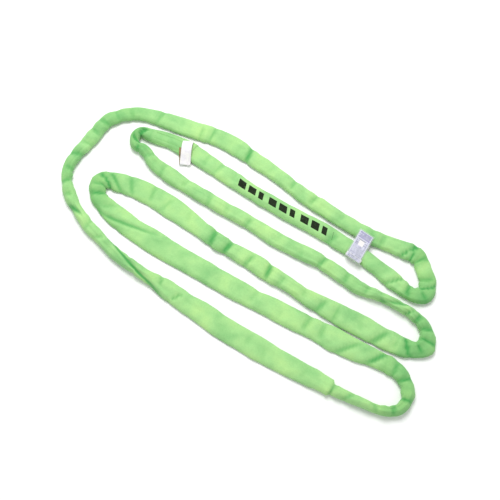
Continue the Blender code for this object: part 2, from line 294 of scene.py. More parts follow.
def link_piece(mesh: bpy.types.Mesh, name: str, material: bpy.types.Material) -> bpy.types.Object:
    """Make a smooth-shaded object from a mesh, at the origin."""
    mesh.materials.clear()
    mesh.materials.append(material)
    mesh.shade_smooth()
    piece = bpy.data.objects.new(name, mesh)
    bpy.context.scene.collection.objects.link(piece)
    return piece


def mesh_from(bm: bmesh.types.BMesh, name: str) -> bpy.types.Mesh:
    """Turn a bmesh into a mesh whose faces point out."""
    bmesh.ops.recalc_face_normals(bm, faces=bm.faces)
    mesh = bpy.data.meshes.new(name)
    bm.to_mesh(mesh)
    bm.free()
    return mesh


class Sweep:
    """Skin of quads over a row of closed sections that all have the same number of corners."""

    def __init__(self) -> None:
        """Start with no sections."""
        self.sections: list[list[Vector]] = []
        self.painted_shades: list[list[float]] = []

    def add(self, points: list[Vector], painted_shades: list[float] | None = None) -> None:
        """Add the next section.

        Args:
            points: its corners, in order round it.
            painted_shades: how much painted shade each corner gets, from 0 to 1.
        """
        self.sections.append(points)
        self.painted_shades.append(painted_shades or [0.0] * len(points))

    def skin(self, along: list[float], around: list[float], cap: bool = False,
             uv_map: str = "cloth") -> bmesh.types.BMesh:
        """Bend a grid over the sections, and merge it where it meets itself.

        Args:
            along: distance of each section, in metres.
            around: distance of each corner round the section, ending with its girth.
            cap: whether the first and the last section are filled.
            uv_map: name of the map that holds along and around.

        Returns:
            The skin.
        """
        rows, corners = len(self.sections), len(self.sections[0])
        bm = bmesh.new()
        uv = bm.loops.layers.uv.new(uv_map)
        # each corner's painted shade is kept on the mesh for the material to darken it
        painted_shade = bm.verts.layers.float.new("painted_shade")
        bmesh.ops.create_grid(bm, x_segments=corners, y_segments=rows - 1, size=1.0)
        for number, vert in enumerate(bm.verts):
            row, column = divmod(number, corners + 1)
            vert.index = number
            vert.co = self.sections[row][column % corners]
            vert[painted_shade] = self.painted_shades[row][column % corners]
        for face in bm.faces:
            for loop in face.loops:
                row, column = divmod(loop.vert.index, corners + 1)
                loop[uv].uv = (along[row], around[column])
        bmesh.ops.remove_doubles(bm, verts=bm.verts, dist=1e-7)
        if cap:
            bmesh.ops.holes_fill(bm, edges=[edge for edge in bm.edges if edge.is_boundary], sides=0)
        return bm


# ------------------------------------------------------------------ finishes
@dataclass(frozen=True)
class InkPrint:
    """Black ink bars rolled onto the sleeve: plain slanted blocks in threes, no lettering."""

    start: float = 0.271
    end: float = 0.548
    middle: float = 0.030
    height: float = 0.017
    pitch: float = 0.0307
    slant: float = -0.42
    narrow: float = 0.46
    wider_by: float = 0.26
    colour: str = "#17240F"

    def printed(self, tree: Tree, along: Socket, around: Socket, fleck: Node, cloth: Node) -> Node:
        """Lay the bars over the cloth's colour.

        Args:
            tree: the material's node tree.
            along: metres along the sleeve.
            around: metres round the sleeve.
            fleck: fine noise that lets the weave show through the ink.
            cloth: the cloth's own colour.

        Returns:
            The colour with the bars on it.
        """
        rise = add_node(tree, "Math", {"operation": "SUBTRACT", 0: around, 1: self.middle})
        off = add_node(tree, "Math", {"operation": "ABSOLUTE", 0: rise})
        leaning = add_node(tree, "Math", {"operation": "MULTIPLY_ADD", 0: rise, 1: self.slant, 2: along})
        past = add_node(tree, "Math", {"operation": "SUBTRACT", 0: leaning, 1: self.start})
        turns = add_node(tree, "Math", {"operation": "MULTIPLY", 0: past, 1: 1 / self.pitch})
        number = add_node(tree, "Math", {"operation": "FLOOR", 0: turns})
        share = add_node(tree, "Math", {"operation": "FRACT", 0: turns})
        # bars come in threes: wide, wide and narrow
        thirds = add_node(tree, "Math", {"operation": "MULTIPLY_ADD", 0: number, 1: 1 / 3, 2: 0.01})
        third = add_node(tree, "Math", {"operation": "FRACT", 0: thirds})
        wide = add_node(tree, "Math", {"operation": "LESS_THAN", 0: third, 1: 0.5})
        limit = add_node(tree, "Math", {"operation": "MULTIPLY_ADD", 0: wide, 1: self.wider_by,
                                        2: self.narrow})
        mask = add_node(tree, "MapRange", {"From Min": 0.28, "From Max": 0.42, "To Min": 0.86, "To Max": 1.0,
                                           "Value": fleck})
        tests = (
            ("LESS_THAN", share, limit), ("LESS_THAN", off, self.height / 2),
            ("GREATER_THAN", leaning, self.start), ("LESS_THAN", leaning, self.end),
        )
        for operation, first, second in tests:
            test = add_node(tree, "Math", {"operation": operation, 0: first, 1: second})
            mask = add_node(tree, "Math", {"operation": "MULTIPLY", 0: mask, 1: test})
        return add_node(tree, "Mix", {"data_type": "RGBA", 0: mask, 6: cloth, 7: linear(self.colour)})


@dataclass(frozen=True)
class WovenPolyester:
    """Spun polyester, plain woven as a tube: matt, soft, with a faint rib of warp and weft."""

    name: str
    colour: str
    shade: str
    light: str
    # darker green painted in as shade, in the folds, the bends and underneath
    painted_shade: str
    pick_mm: float = 1.9
    end_mm: float = 1.6
    relief_mm: float = 0.22
    roughness: float = 0.88
    ink: InkPrint | None = None

    def weave(self, tree: Tree, along: Socket, around: Socket) -> Node:
        """Crossing threads, from 0 in the gaps to 1 on top of a crossing."""
        # one sine wave covers two threads, so its size is the thread pitch; threads of 0.5 mm
        # would be too fine to show, so they are drawn about three times as coarse
        waves = []
        for axis, pitch in ((along, self.pick_mm), (around, self.end_mm)):
            angle = add_node(tree, "Math", {"operation": "MULTIPLY", 0: axis, 1: math.pi * 1000 / pitch})
            waves.append(add_node(tree, "Math", {"operation": "SINE", 0: angle}))
        crossing = add_node(tree, "Math", {"operation": "MULTIPLY", 0: waves[0], 1: waves[1]})
        return add_node(tree, "Math", {"operation": "ABSOLUTE", 0: crossing})

    def dyed(self, tree: Tree, body: Socket, weave: Node, fleck: Node) -> Node:
        """Colour of the cloth before it is printed.

        Args:
            tree: the material's node tree.
            body: place on the piece.
            weave: the crossing threads.
            fleck: fine noise.

        Returns:
            The colour, mottled, with painted shade in the folds, the bends and underneath, and lighter on top
            of each thread.
        """
        # uneven dye and handling: soft patches a few centimetres long
        patches = add_node(tree, "TexNoise", {"Scale": 16.0, "Detail": 4.0, "Roughness": 0.5, "Vector": body})
        dye = add_node(tree, "ValToRGB", {"Fac": patches})
        ramp = dye.color_ramp.elements
        ramp[0].position, ramp[0].color = 0.30, linear(self.shade)
        ramp[1].position, ramp[1].color = 0.70, linear(self.light)
        ramp.new(0.50).color = linear(self.colour)
        # painted shade: the cloth is tinted darker and fuller in green where the sleeve is folded, bent or
        # underneath
        depth = add_node(tree, "Attribute", {"attribute_name": "painted_shade"}).outputs["Fac"]
        folded = add_node(tree, "Mix", {"data_type": "RGBA", 0: depth, 6: dye, 7: linear(self.painted_shade)})
        thread = add_node(tree, "MapRange", {"To Min": 0.93, "To Max": 1.03, "Value": weave})
        grain = add_node(tree, "MapRange", {"From Min": 0.3, "From Max": 0.7, "To Min": 0.95, "To Max": 1.05,
                                            "Value": fleck})
        tone = add_node(tree, "Math", {"operation": "MULTIPLY", 0: thread, 1: grain})
        return add_node(tree, "Mix", {"data_type": "RGBA", "blend_type": "MULTIPLY", 0: 1.0, 6: folded,
                                      7: tone})

    def build(self) -> bpy.types.Material:
        """Make the material; it reads the piece's cloth UV map, which is in metres."""
        material, tree = new_material(self.name)
        along, around = map_axes(tree, "cloth")
        body = add_node(tree, "TexCoord").outputs["Object"]
        weave = self.weave(tree, along, around)
        fleck = add_node(tree, "TexNoise", {"Scale": 260.0, "Detail": 3.0, "Roughness": 0.65, "Vector": body})
        colour = self.dyed(tree, body, weave, fleck)
        if self.ink:
            colour = self.ink.printed(tree, along, around, fleck, colour)
        relief = add_node(tree, "Math", {"operation": "MULTIPLY_ADD", 0: fleck, 1: 0.8, 2: weave})
        # spun yarn scatters light: hardly any gloss, and a soft sheen at grazing angles
        finish_surface(tree, {"Base Color": colour, "Roughness": self.roughness, "Specular IOR Level": 0.2,
                              "Sheen Weight": 0.2, "Sheen Roughness": 0.5}, relief, self.relief_mm, 0.5)
        return material


@dataclass(frozen=True)
class SpunThread:
    """Bonded sewing thread, two-ply: a fine twist shows as slanted ribs."""

    name: str
    colour: str
    shade: str
    twist_mm: float = 1.1
    relief_mm: float = 0.2

    def build(self) -> bpy.types.Material:
        """Make the material from object coordinates."""
        material, tree = new_material(self.name)
        body = add_node(tree, "TexCoord").outputs["Object"]
        twist = add_node(tree, "TexWave", {"wave_type": "BANDS", "bands_direction": "DIAGONAL",
                                           "Scale": 1000 / self.twist_mm / 6.28, "Distortion": 0.6,
                                           "Vector": body})
        ply = twist.outputs["Fac"]
        colour = add_node(tree, "Mix", {"data_type": "RGBA", 0: ply, 6: linear(self.shade),
                                        7: linear(self.colour)})
        finish_surface(tree, {"Base Color": colour, "Roughness": 0.62, "Specular IOR Level": 0.35},
                       ply, self.relief_mm, 0.5)
        return material


@dataclass(frozen=True)
class LoadYarn:
    """High-tenacity polyester yarn laid up in parallel turns: thin bright cords side by side."""

    name: str = "load_yarn_polyester"
    colour: str = "#E9E6DA"
    shade: str = "#B9B4A0"
    cord_mm: float = 2.4
    relief_mm: float = 0.6
    drift: float = 0.05

    def build(self) -> bpy.types.Material:
        """Make the material; it reads the hank's cloth UV map, which is in metres."""
        material, tree = new_material(self.name)
        # the cords run with the strand and drift slowly round the hank
        place = add_node(tree, "UVMap", {"uv_map": "cloth"})
        turned = add_node(tree, "Mapping", {"Rotation": (0.0, 0.0, self.drift), "Vector": place,
                                            "Scale": (1.0, 1000 / self.cord_mm, 1.0)})
        waves = add_node(tree, "TexWave", {"wave_type": "BANDS", "bands_direction": "Y", "Scale": 0.5,
                                           "Distortion": 1.2, "Detail": 2.0, "Vector": turned})
        cords = waves.outputs["Fac"]
        colour = add_node(tree, "Mix", {"data_type": "RGBA", 0: cords, 6: linear(self.shade),
                                        7: linear(self.colour)})
        finish_surface(tree, {"Base Color": colour, "Roughness": 0.5}, cords, self.relief_mm, 0.7)
        return material


@dataclass(frozen=True)
class TapeWeave:
    """Narrow woven tape: flat, ribbed across its length; its inner face may be another colour, which on the
    tag is partly painted shade.
    """

    name: str
    colour: str
    shade: str
    inner: str
    width: float
    rib_mm: float = 1.2
    relief_mm: float = 0.15
    speck: float = 0.0
    speck_colour: str = "#9C8C96"

    def build(self) -> bpy.types.Material:
        """Make the material; it reads the strip's cloth UV map: along, then round the strip."""
        material, tree = new_material(self.name)
        along, around = map_axes(tree, "cloth")
        body = add_node(tree, "TexCoord").outputs["Object"]
        angle = add_node(tree, "Math", {"operation": "MULTIPLY", 0: along, 1: 2000 * math.pi / self.rib_mm})
        ribs = add_node(tree, "Math", {"operation": "SINE", 0: angle})
        cloud = add_node(tree, "TexNoise", {"Scale": 90.0, "Detail": 3.0, "Vector": body})
        shade = add_node(tree, "MapRange", {"From Min": 0.35, "From Max": 0.7, "Value": cloud})
        outer = add_node(tree, "Mix", {"data_type": "RGBA", 0: shade, 6: linear(self.colour),
                                       7: linear(self.shade)})
        # the inner face takes its own colour, which for the tag is partly painted shade
        inward = add_node(tree, "Math", {"operation": "GREATER_THAN", 0: around, 1: self.width})
        colour = add_node(tree, "Mix", {"data_type": "RGBA", 0: inward, 6: outer, 7: linear(self.inner)})
        if self.speck > 0:
            dots = add_node(tree, "TexNoise", {"Scale": 700.0, "Detail": 1.0, "Vector": body})
            dots = add_node(tree, "MapRange", {"From Min": 0.62, "From Max": 0.70, "To Max": self.speck,
                                               "Value": dots})
            colour = add_node(tree, "Mix", {"data_type": "RGBA", 0: dots, 6: colour,
                                            7: linear(self.speck_colour)})
        finish_surface(tree, {"Base Color": colour, "Roughness": 0.7}, ribs, self.relief_mm, 0.4)
        return material


@dataclass(frozen=True)
class ClearVinyl:
    """Soft clear PVC film, calendered: thin, glossy and slightly milky, with a faint ripple."""

    name: str = "clear_vinyl_film"
    colour: str = "#E6EFEA"
    opacity: float = 0.20
    ripple_mm: float = 0.6

    def build(self) -> bpy.types.Material:
        """Make the material from object coordinates."""
        material, tree = new_material(self.name)
        body = add_node(tree, "TexCoord").outputs["Object"]
        cloud = add_node(tree, "TexNoise", {"Scale": 60.0, "Detail": 2.0, "Vector": body})
        veil = add_node(tree, "MapRange", {"From Min": 0.35, "From Max": 0.70, "To Min": self.opacity * 0.75,
                                           "To Max": self.opacity * 1.25, "Value": cloud})
        finish_surface(tree, {"Base Color": linear(self.colour), "Alpha": veil, "Roughness": 0.26,
                              "IOR": 1.54}, cloud, self.ripple_mm, 0.35)
        return material


@dataclass(frozen=True)
class PrintedCard:
    """Coated label stock with a printed form: ruled boxes and rows of plain marks, no words."""

    name: str = "printed_label_stock"
    paper: str = "#C6C4DC"
    ink: str = "#56547C"
    band: str = "#7D74AC"
    patch: str = "#E6DFDF"
    width: float = 0.0364
    row: float = 0.0048
    border: float = 0.003
    rule: float = 0.0006
    relief_mm: float = 0.1
    levels: tuple[float, ...] = (0.006, 0.018, 0.0315, 0.044, 0.056)
    bands: tuple[Span, ...] = ((0.059, 0.0635), (0.0655, 0.0685), (0.0705, 0.0750))

    def areas(self) -> list[tuple[str, Span, Span]]:
        """Each ruled line, box and band: its colour, and its reach along and across the card."""
        ruled = (self.border, self.width - self.border)
        upright = (self.levels[0], self.levels[-1])
        columns = ((0.0030, 0.0036), (self.width - 0.0036, self.width - 0.0030), (0.0200, 0.0205))
        found = [(self.ink, upright, reach) for reach in columns]
        found += [(self.ink, (level - self.rule / 2, level + self.rule / 2), ruled) for level in self.levels]
        found.append((self.patch, (0.040, 0.054), (0.011, 0.025)))
        found += [(self.band, reach, (0.002, self.width - 0.002)) for reach in self.bands]
        return found

    def within(self, tree: Tree, place: Socket | Node, reach: Span) -> Node:
        """One where the place lies inside the reach, else zero."""
        low, high = reach
        offset = add_node(tree, "Math", {"operation": "SUBTRACT", 0: place, 1: (low + high) / 2})
        away = add_node(tree, "Math", {"operation": "ABSOLUTE", 0: offset})
        return add_node(tree, "Math", {"operation": "LESS_THAN", 0: away, 1: (high - low) / 2})

    def marks(self, tree: Tree, along: Socket, across: Socket) -> tuple[Node, Node]:
        """Rows of small plain marks of uneven length.

        Args:
            tree: the material's node tree.
            along: metres along the card.
            across: metres across the card.

        Returns:
            The marks before they are cut to rows, and the rows of them between the borders.
        """
        rows = add_node(tree, "Math", {"operation": "MULTIPLY", 0: along, 1: 1 / self.row})
        number = add_node(tree, "Math", {"operation": "FLOOR", 0: rows})
        line = add_node(tree, "Math", {"operation": "FRACT", 0: rows})
        place = add_node(tree, "Math", {"operation": "MULTIPLY", 0: across, 1: 210.0})
        level = add_node(tree, "Math", {"operation": "MULTIPLY", 0: number, 1: 7.3})
        cell = add_node(tree, "CombineXYZ", {"X": place, "Y": level})
        cloud = add_node(tree, "TexNoise", {"Scale": 1.0, "Detail": 1.0, "Vector": cell})
        marks = add_node(tree, "MapRange", {"From Min": 0.44, "From Max": 0.50, "Value": cloud})
        inside = (self.within(tree, line, (0.25, 0.75)),
                  self.within(tree, across, (self.border, self.width - self.border)))
        rowed = marks
        for mask in inside:
            rowed = add_node(tree, "Math", {"operation": "MULTIPLY", 0: rowed, 1: mask})
        return marks, rowed

    def build(self) -> bpy.types.Material:
        """Make the material; it reads the card's print UV map, in metres from one corner."""
        material, tree = new_material(self.name)
        along, across = map_axes(tree, "print")
        marks, rowed = self.marks(tree, along, across)
        faint = add_node(tree, "Math", {"operation": "MULTIPLY", 0: rowed, 1: 0.9})
        colour = add_node(tree, "Mix", {"data_type": "RGBA", 0: faint, 6: linear(self.paper),
                                        7: linear(self.ink)})
        for tint, lengthwise, crosswise in self.areas():
            mask = add_node(tree, "Math", {"operation": "MULTIPLY", 0: self.within(tree, along, lengthwise),
                                           1: self.within(tree, across, crosswise)})
            colour = add_node(tree, "Mix", {"data_type": "RGBA", 0: mask, 6: colour, 7: linear(tint)})
        finish_surface(tree, {"Base Color": colour, "Roughness": 0.45}, marks, self.relief_mm, 0.2)
        return material


SLEEVE_CLOTH = WovenPolyester(
    # the darkest green is the painted shade of the folds, the bends and the underside
    "woven_polyester_green", colour="#A1D68B", shade="#89C57D", light="#B1E08F", painted_shade="#4CA354",
    ink=InkPrint(),
)
GREEN_THREAD = SpunThread("sewing_thread_green", "#8ED078", "#5FA04C")
WHITE_THREAD = SpunThread("sewing_thread_white", "#F2F0EE", "#C8C4C2")
TAG_WIDTH = 0.028
# the tag's dark tan inner colour is partly its own back and partly painted shade inside its loop
TAG_TAPE = TapeWeave("tag_tape_polyester", "#F6F2F1", "#E2DEEA", "#8F7A50", TAG_WIDTH, speck=0.35)
HEM_TAPE = TapeWeave("label_hem_tape_polyester", "#F2F0EE", "#DCDAE2", "#E2DEDA", 0.043)
BINDING_TAPE = TapeWeave("binding_tape_cotton", "#CFC9B4", "#B6AF98", "#B6AF98", 1.0)


# ------------------------------------------------------------------ load-bearing core
@dataclass
class YarnHank:
    """The load-bearing core: many turns of yarn, bunched loosely inside the sleeve."""

    strand: Strand
    bunched: tuple[float, float] = (0.0085, 0.0070)
    spread_out: tuple[float, float] = (0.0210, 0.0032)
    under_room: float = 0.0020
    ring_step: float = 0.010
    sides: int = 24
    girth: float = 0.06
    wrap_gap: float = 0.0002
    wrap_rings: int = 12

    def half_sizes(self, station: Station) -> tuple[float, float]:
        """Half width and half height of the oval hank, which flattens where the strand spreads."""
        pairs = zip(self.bunched, self.spread_out)
        half_width, half_height = (first + (second - first) * station.spread for first, second in pairs)
        return half_width, half_height

    def roof(self, station: Station, across: float) -> float:
        """Height of the hank's top at a distance from the strand's middle; none past its edge."""
        half_width, half_height = self.half_sizes(station)
        inside = max(0.0, 1 - (across / half_width) ** 2)
        return self.under_room + half_height * (1 + math.sqrt(inside)) if inside else 0.0

    def section(self, station: Station, grown: float = 0.0) -> list[Vector]:
        """Oval outline of the hank, grown by a wrap's thickness."""
        half_width, half_height = (half + grown for half in self.half_sizes(station))
        middle = self.under_room - grown + half_height
        outline = []
        for number in range(self.sides):
            angle = 2 * math.pi * (number + 0.5) / self.sides
            outline.append(station.at(half_width * math.cos(angle), middle + half_height * math.sin(angle)))
        return outline

    def mesh(self, name: str) -> bpy.types.Mesh:
        """Sweep the hank once round the loop."""
        sweep = Sweep()
        count = round(self.strand.length / self.ring_step)
        along = [self.strand.length * number / count for number in range(count + 1)]
        for distance in along:
            sweep.add(self.section(self.strand.station(distance)))
        return mesh_from(sweep.skin(along, self.girths()), name)

    def girths(self) -> list[float]:
        """Place of each outline point round the hank, in metres, and its whole girth."""
        return [self.girth * number / self.sides for number in range(self.sides + 1)]

    def build(self, material: bpy.types.Material) -> bpy.types.Object:
        """Make the hank as a piece."""
        piece = link_piece(self.mesh("core_yarn"), "core_yarn", material)
        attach(piece, "root")
        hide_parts("core_hank")
        return piece

    def build_binding(self, material: bpy.types.Material, start: float = 0.040, length: float = 0.030,
                      thickness: float = 0.0008) -> bpy.types.Object:
        """Wrap tape round the hank where its yarn ends are joined.

        Args:
            material: the tape's.
            start: distance of its first edge from the lap's start.
            length: how far it runs along the strand.
            thickness: of the wrap.

        Returns:
            The wrap.
        """
        sweep = Sweep()
        step = length / self.wrap_rings
        places = [self.strand.station(start + length * number / self.wrap_rings)
                  for number in range(self.wrap_rings + 1)]
        outer = [self.section(place, self.wrap_gap + thickness) for place in places]
        inner = [self.section(place, self.wrap_gap) for place in places]
        rings = outer + inner[::-1] + outer[:1]
        for ring in rings:
            sweep.add(ring)
        skin = sweep.skin([step * row for row in range(len(rings))], self.girths())
        piece = link_piece(mesh_from(skin, "core_binding_tape"), "core_binding_tape", material)
        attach(piece, "root")
        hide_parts("core_binding")
        return piece


# ------------------------------------------------------------------ the sleeve's folds
@dataclass(frozen=True)
class Fold:
    """A soft crease in the slack cloth: a valley between two low swellings.

    at is the distance from the lap's start, slant the degrees from square across, middle and
    reach the part of the half width that it takes, and width and depth its size in metres.
    """

    at: float
    slant: float = 0.0
    middle: float = 0.0
    reach: float = 1.3
    width: float = 0.009
    depth: float = 0.0026

    def fade(self, across: float) -> float:
        """How much of the fold is left at a place across the strand, from 0 to 1."""
        return math.exp(-((across - self.middle) / self.reach) ** 4)


class Folds:
    """Folds of the sleeve, in order along the strand."""

    MARKS: tuple[Fold, ...] = (
        # second run, from the closure past the label
        Fold(0.165, -8, 0.2, 1.0, 0.009, 0.0018), Fold(0.205, 6, 0.0, 1.2, 0.010, 0.0020),
        Fold(0.252, -5, 0.3, 0.8, 0.010, 0.0014), Fold(0.553, 20, -0.4, 0.9, 0.010, 0.0026),
        Fold(0.604, -12, -0.6, 0.7, 0.008, 0.0020), Fold(0.700, 8, 0.0, 1.2, 0.012, 0.0012),
        Fold(0.735, 30, 0.0, 1.5, 0.006, 0.0036),
        # upper bight at +X
        Fold(0.775, -18, 0.2, 1.3, 0.008, 0.0028), Fold(0.812, 14, 0.0, 1.5, 0.008, 0.0026),
        Fold(0.850, -6, 0.3, 1.2, 0.008, 0.0022), Fold(0.905, 8, -0.1, 1.4, 0.007, 0.0026),
        Fold(0.932, -4, 0.0, 1.7, 0.005, 0.0044),
        Fold(0.826, -38, -0.5, 0.9, 0.004, 0.0046), Fold(0.944, 34, 0.2, 1.2, 0.0045, 0.0046),
        # first run
        Fold(1.012, 5, 0.2, 1.1, 0.009, 0.0026), Fold(1.040, -6, -0.1, 1.0, 0.009, 0.0020),
        Fold(1.130, 10, 0.2, 1.0, 0.011, 0.0014), Fold(1.213, 8, -0.3, 1.1, 0.009, 0.0028),
        Fold(1.279, -7, -0.3, 1.0, 0.009, 0.0028), Fold(1.350, 12, 0.1, 0.9, 0.011, 0.0014),
        Fold(1.423, -14, 0.0, 1.7, 0.010, 0.0044), Fold(1.447, 10, 0.3, 1.0, 0.008, 0.0020),
        Fold(1.536, 5, 0.0, 1.3, 0.008, 0.0026), Fold(1.564, -2, 0.4, 1.0, 0.008, 0.0024),
        Fold(1.625, 8, 0.0, 0.9, 0.012, 0.0012), Fold(1.684, 12, 0.0, 1.4, 0.008, 0.0026),
        Fold(1.760, -8, 0.3, 1.1, 0.012, 0.0018), Fold(1.800, 6, -0.2, 1.2, 0.009, 0.0020),
        # wide outer bight at -X
        Fold(1.838, -12, 0.0, 1.5, 0.010, 0.0026), Fold(1.874, 15, -0.4, 1.3, 0.009, 0.0030),
        Fold(1.915, -10, 0.3, 1.2, 0.009, 0.0026), Fold(1.955, -20, 0.0, 1.4, 0.010, 0.0030),
        Fold(1.998, 12, 0.4, 1.0, 0.009, 0.0024), Fold(2.040, -14, 0.1, 1.3, 0.009, 0.0028),
        Fold(2.080, 10, -0.5, 1.0, 0.010, 0.0026), Fold(2.135, 55, -0.7, 0.9, 0.009, 0.0046),
        Fold(2.180, -16, 0.2, 1.2, 0.008, 0.0024), Fold(2.225, 30, 0.0, 1.2, 0.008, 0.0024),
        # sixth run: a long edge that rolls over it, then flat to the cuff
        Fold(2.335, -78, 0.0, 3.0, 0.0045, 0.0046), Fold(2.425, -20, 0.5, 0.8, 0.006, 0.0030),
        Fold(2.478, 25, -0.3, 0.8, 0.006, 0.0032), Fold(2.560, -10, 0.2, 0.8, 0.014, 0.0010),
        Fold(2.678, 10, 0.2, 0.7, 0.012, 0.0014), Fold(2.725, -12, -0.3, 0.7, 0.012, 0.0014),
        Fold(2.830, 14, 0.1, 0.9, 0.012, 0.0014), Fold(2.906, 2, 0.1, 1.6, 0.004, 0.0048),
        Fold(2.945, 30, -0.2, 1.0, 0.008, 0.0026), Fold(3.007, -20, 0.0, 1.3, 0.009, 0.0024),
        # lower bight at +X
        Fold(3.050, 15, 0.2, 1.3, 0.008, 0.0026), Fold(3.089, -10, 0.2, 1.5, 0.007, 0.0034),
        Fold(3.139, 12, 0.0, 1.5, 0.007, 0.0034), Fold(3.172, -16, 0.0, 1.4, 0.008, 0.0028),
        # fifth run
        Fold(3.220, 34, -0.1, 1.1, 0.009, 0.0042), Fold(3.286, 42, 0.2, 1.0, 0.008, 0.0032),
        Fold(3.362, -5, -0.2, 0.9, 0.012, 0.0026), Fold(3.402, 8, -0.3, 1.0, 0.012, 0.0028),
        Fold(3.470, -8, 0.3, 0.7, 0.012, 0.0012), Fold(3.546, 10, -0.2, 0.9, 0.010, 0.0016),
        Fold(3.640, -12, 0.3, 0.8, 0.014, 0.0012), Fold(3.760, 8, -0.2, 0.8, 0.014, 0.0010),
        Fold(3.900, 74, 0.3, 0.9, 0.006, 0.0038), Fold(3.985, 30, 0.2, 1.0, 0.009, 0.0022),
        # inner bight at -X
        Fold(4.030, 20, 0.0, 1.5, 0.008, 0.0030), Fold(4.058, -8, 0.0, 1.5, 0.006, 0.0030),
        Fold(4.080, -28, 0.1, 1.7, 0.005, 0.0050), Fold(4.104, -40, -0.1, 1.2, 0.007, 0.0032),
        Fold(4.146, -24, 0.1, 1.1, 0.008, 0.0028),
        # fourth run
        Fold(4.206, -10, 0.3, 1.0, 0.009, 0.0024), Fold(4.254, 10, -0.1, 0.9, 0.009, 0.0020),
        Fold(4.320, -14, 0.2, 0.8, 0.012, 0.0014), Fold(4.402, -15, 0.0, 1.5, 0.010, 0.0042),
        Fold(4.448, 6, -0.2, 1.3, 0.010, 0.0044), Fold(4.511, 10, -0.3, 1.1, 0.009, 0.0030),
        Fold(4.566, -12, 0.2, 1.3, 0.010, 0.0042), Fold(4.606, 8, -0.3, 1.0, 0.009, 0.0024),
        Fold(4.668, -8, 0.3, 0.9, 0.010, 0.0018), Fold(4.719, 15, -0.3, 1.1, 0.009, 0.0030),
        Fold(4.758, 0, -0.2, 1.0, 0.009, 0.0026), Fold(4.820, -10, 0.2, 0.8, 0.012, 0.0014),
        Fold(4.877, 28, -0.3, 1.0, 0.010, 0.0036), Fold(4.912, 8, 0.2, 1.0, 0.008, 0.0022),
        # middle bight at +X
        Fold(4.940, -22, 0.0, 1.5, 0.006, 0.0046), Fold(4.968, 20, 0.0, 1.5, 0.006, 0.0032),
        Fold(4.990, -10, 0.0, 1.6, 0.006, 0.0040), Fold(5.018, 16, 0.1, 1.4, 0.007, 0.0030),
        Fold(5.050, -8, 0.0, 1.5, 0.008, 0.0032), Fold(5.072, 30, 0.2, 1.3, 0.005, 0.0044),
        # third run
        Fold(5.112, 66, 0.0, 2.0, 0.006, 0.0034), Fold(5.150, -16, 0.0, 1.2, 0.008, 0.0022),
        Fold(5.188, 10, 0.0, 1.3, 0.009, 0.0024), Fold(5.246, -10, -0.2, 1.1, 0.010, 0.0028),
        Fold(5.316, 12, 0.0, 1.4, 0.009, 0.0034), Fold(5.372, -8, 0.3, 0.8, 0.010, 0.0016),
        Fold(5.440, 10, -0.2, 0.9, 0.012, 0.0014), Fold(5.525, 6, 0.3, 1.0, 0.010, 0.0026),
        Fold(5.590, -12, 0.0, 1.0, 0.011, 0.0016), Fold(5.641, -5, 0.4, 1.0, 0.010, 0.0024),
        Fold(5.720, 12, -0.1, 1.0, 0.010, 0.0018), Fold(5.790, -14, 0.2, 1.1, 0.009, 0.0022),
        # small bight at -X, with the deep pocket beside the closure
        Fold(5.845, 20, 0.0, 1.3, 0.008, 0.0024), Fold(5.885, -12, 0.0, 1.5, 0.007, 0.0030),
        Fold(5.918, 62, -0.35, 0.7, 0.005, 0.0050), Fold(5.952, 40, -0.35, 0.8, 0.008, 0.0060),
    )
    LONGEST = 0.14
    # a fold's swelling, as a share of its depth, and both in widths of the fold from its bottom
    SWELLING = 0.42
    SWELLING_AT = 1.9
    FADED = 4

    def __init__(self, length: float) -> None:
        """Keep the loop's length, past which a distance starts again."""
        self.length = length

    def near(self, distance: float) -> list[tuple[Fold, float]]:
        """Folds that may reach a distance, each with how far past it that distance lies."""
        found = []
        for fold in self.MARKS:
            past = (distance - fold.at + self.length / 2) % self.length - self.length / 2
            if abs(past) < self.LONGEST:
                found.append((fold, past))
        return found

    def depth(self, near: list[tuple[Fold, float]], across: float, half_width: float) -> float:
        """How deep the cloth dips at one place.

        Args:
            near: the folds that near() found there.
            across: place across the strand, from -1 to 1.
            half_width: half the strand's width there.

        Returns:
            Metres below the smooth surface; a swelling is below zero.
        """
        total = 0.0
        for fold, past in near:
            slant = math.radians(fold.slant)
            off = past * math.cos(slant) - across * half_width * math.sin(slant)
            ratio = abs(off) / fold.width
            if ratio < self.FADED:
                valley = math.exp(-ratio ** 2) - self.SWELLING * math.exp(-(ratio - self.SWELLING_AT) ** 2)
                total += fold.depth * valley * fold.fade(across)
        return total


# ------------------------------------------------------------------ sleeve
@dataclass(frozen=True)
class Ear:
    """Corner of slack cloth that a turn of the strand pushes out at its edge."""

    at: float
    side: int
    size: float
    length: float


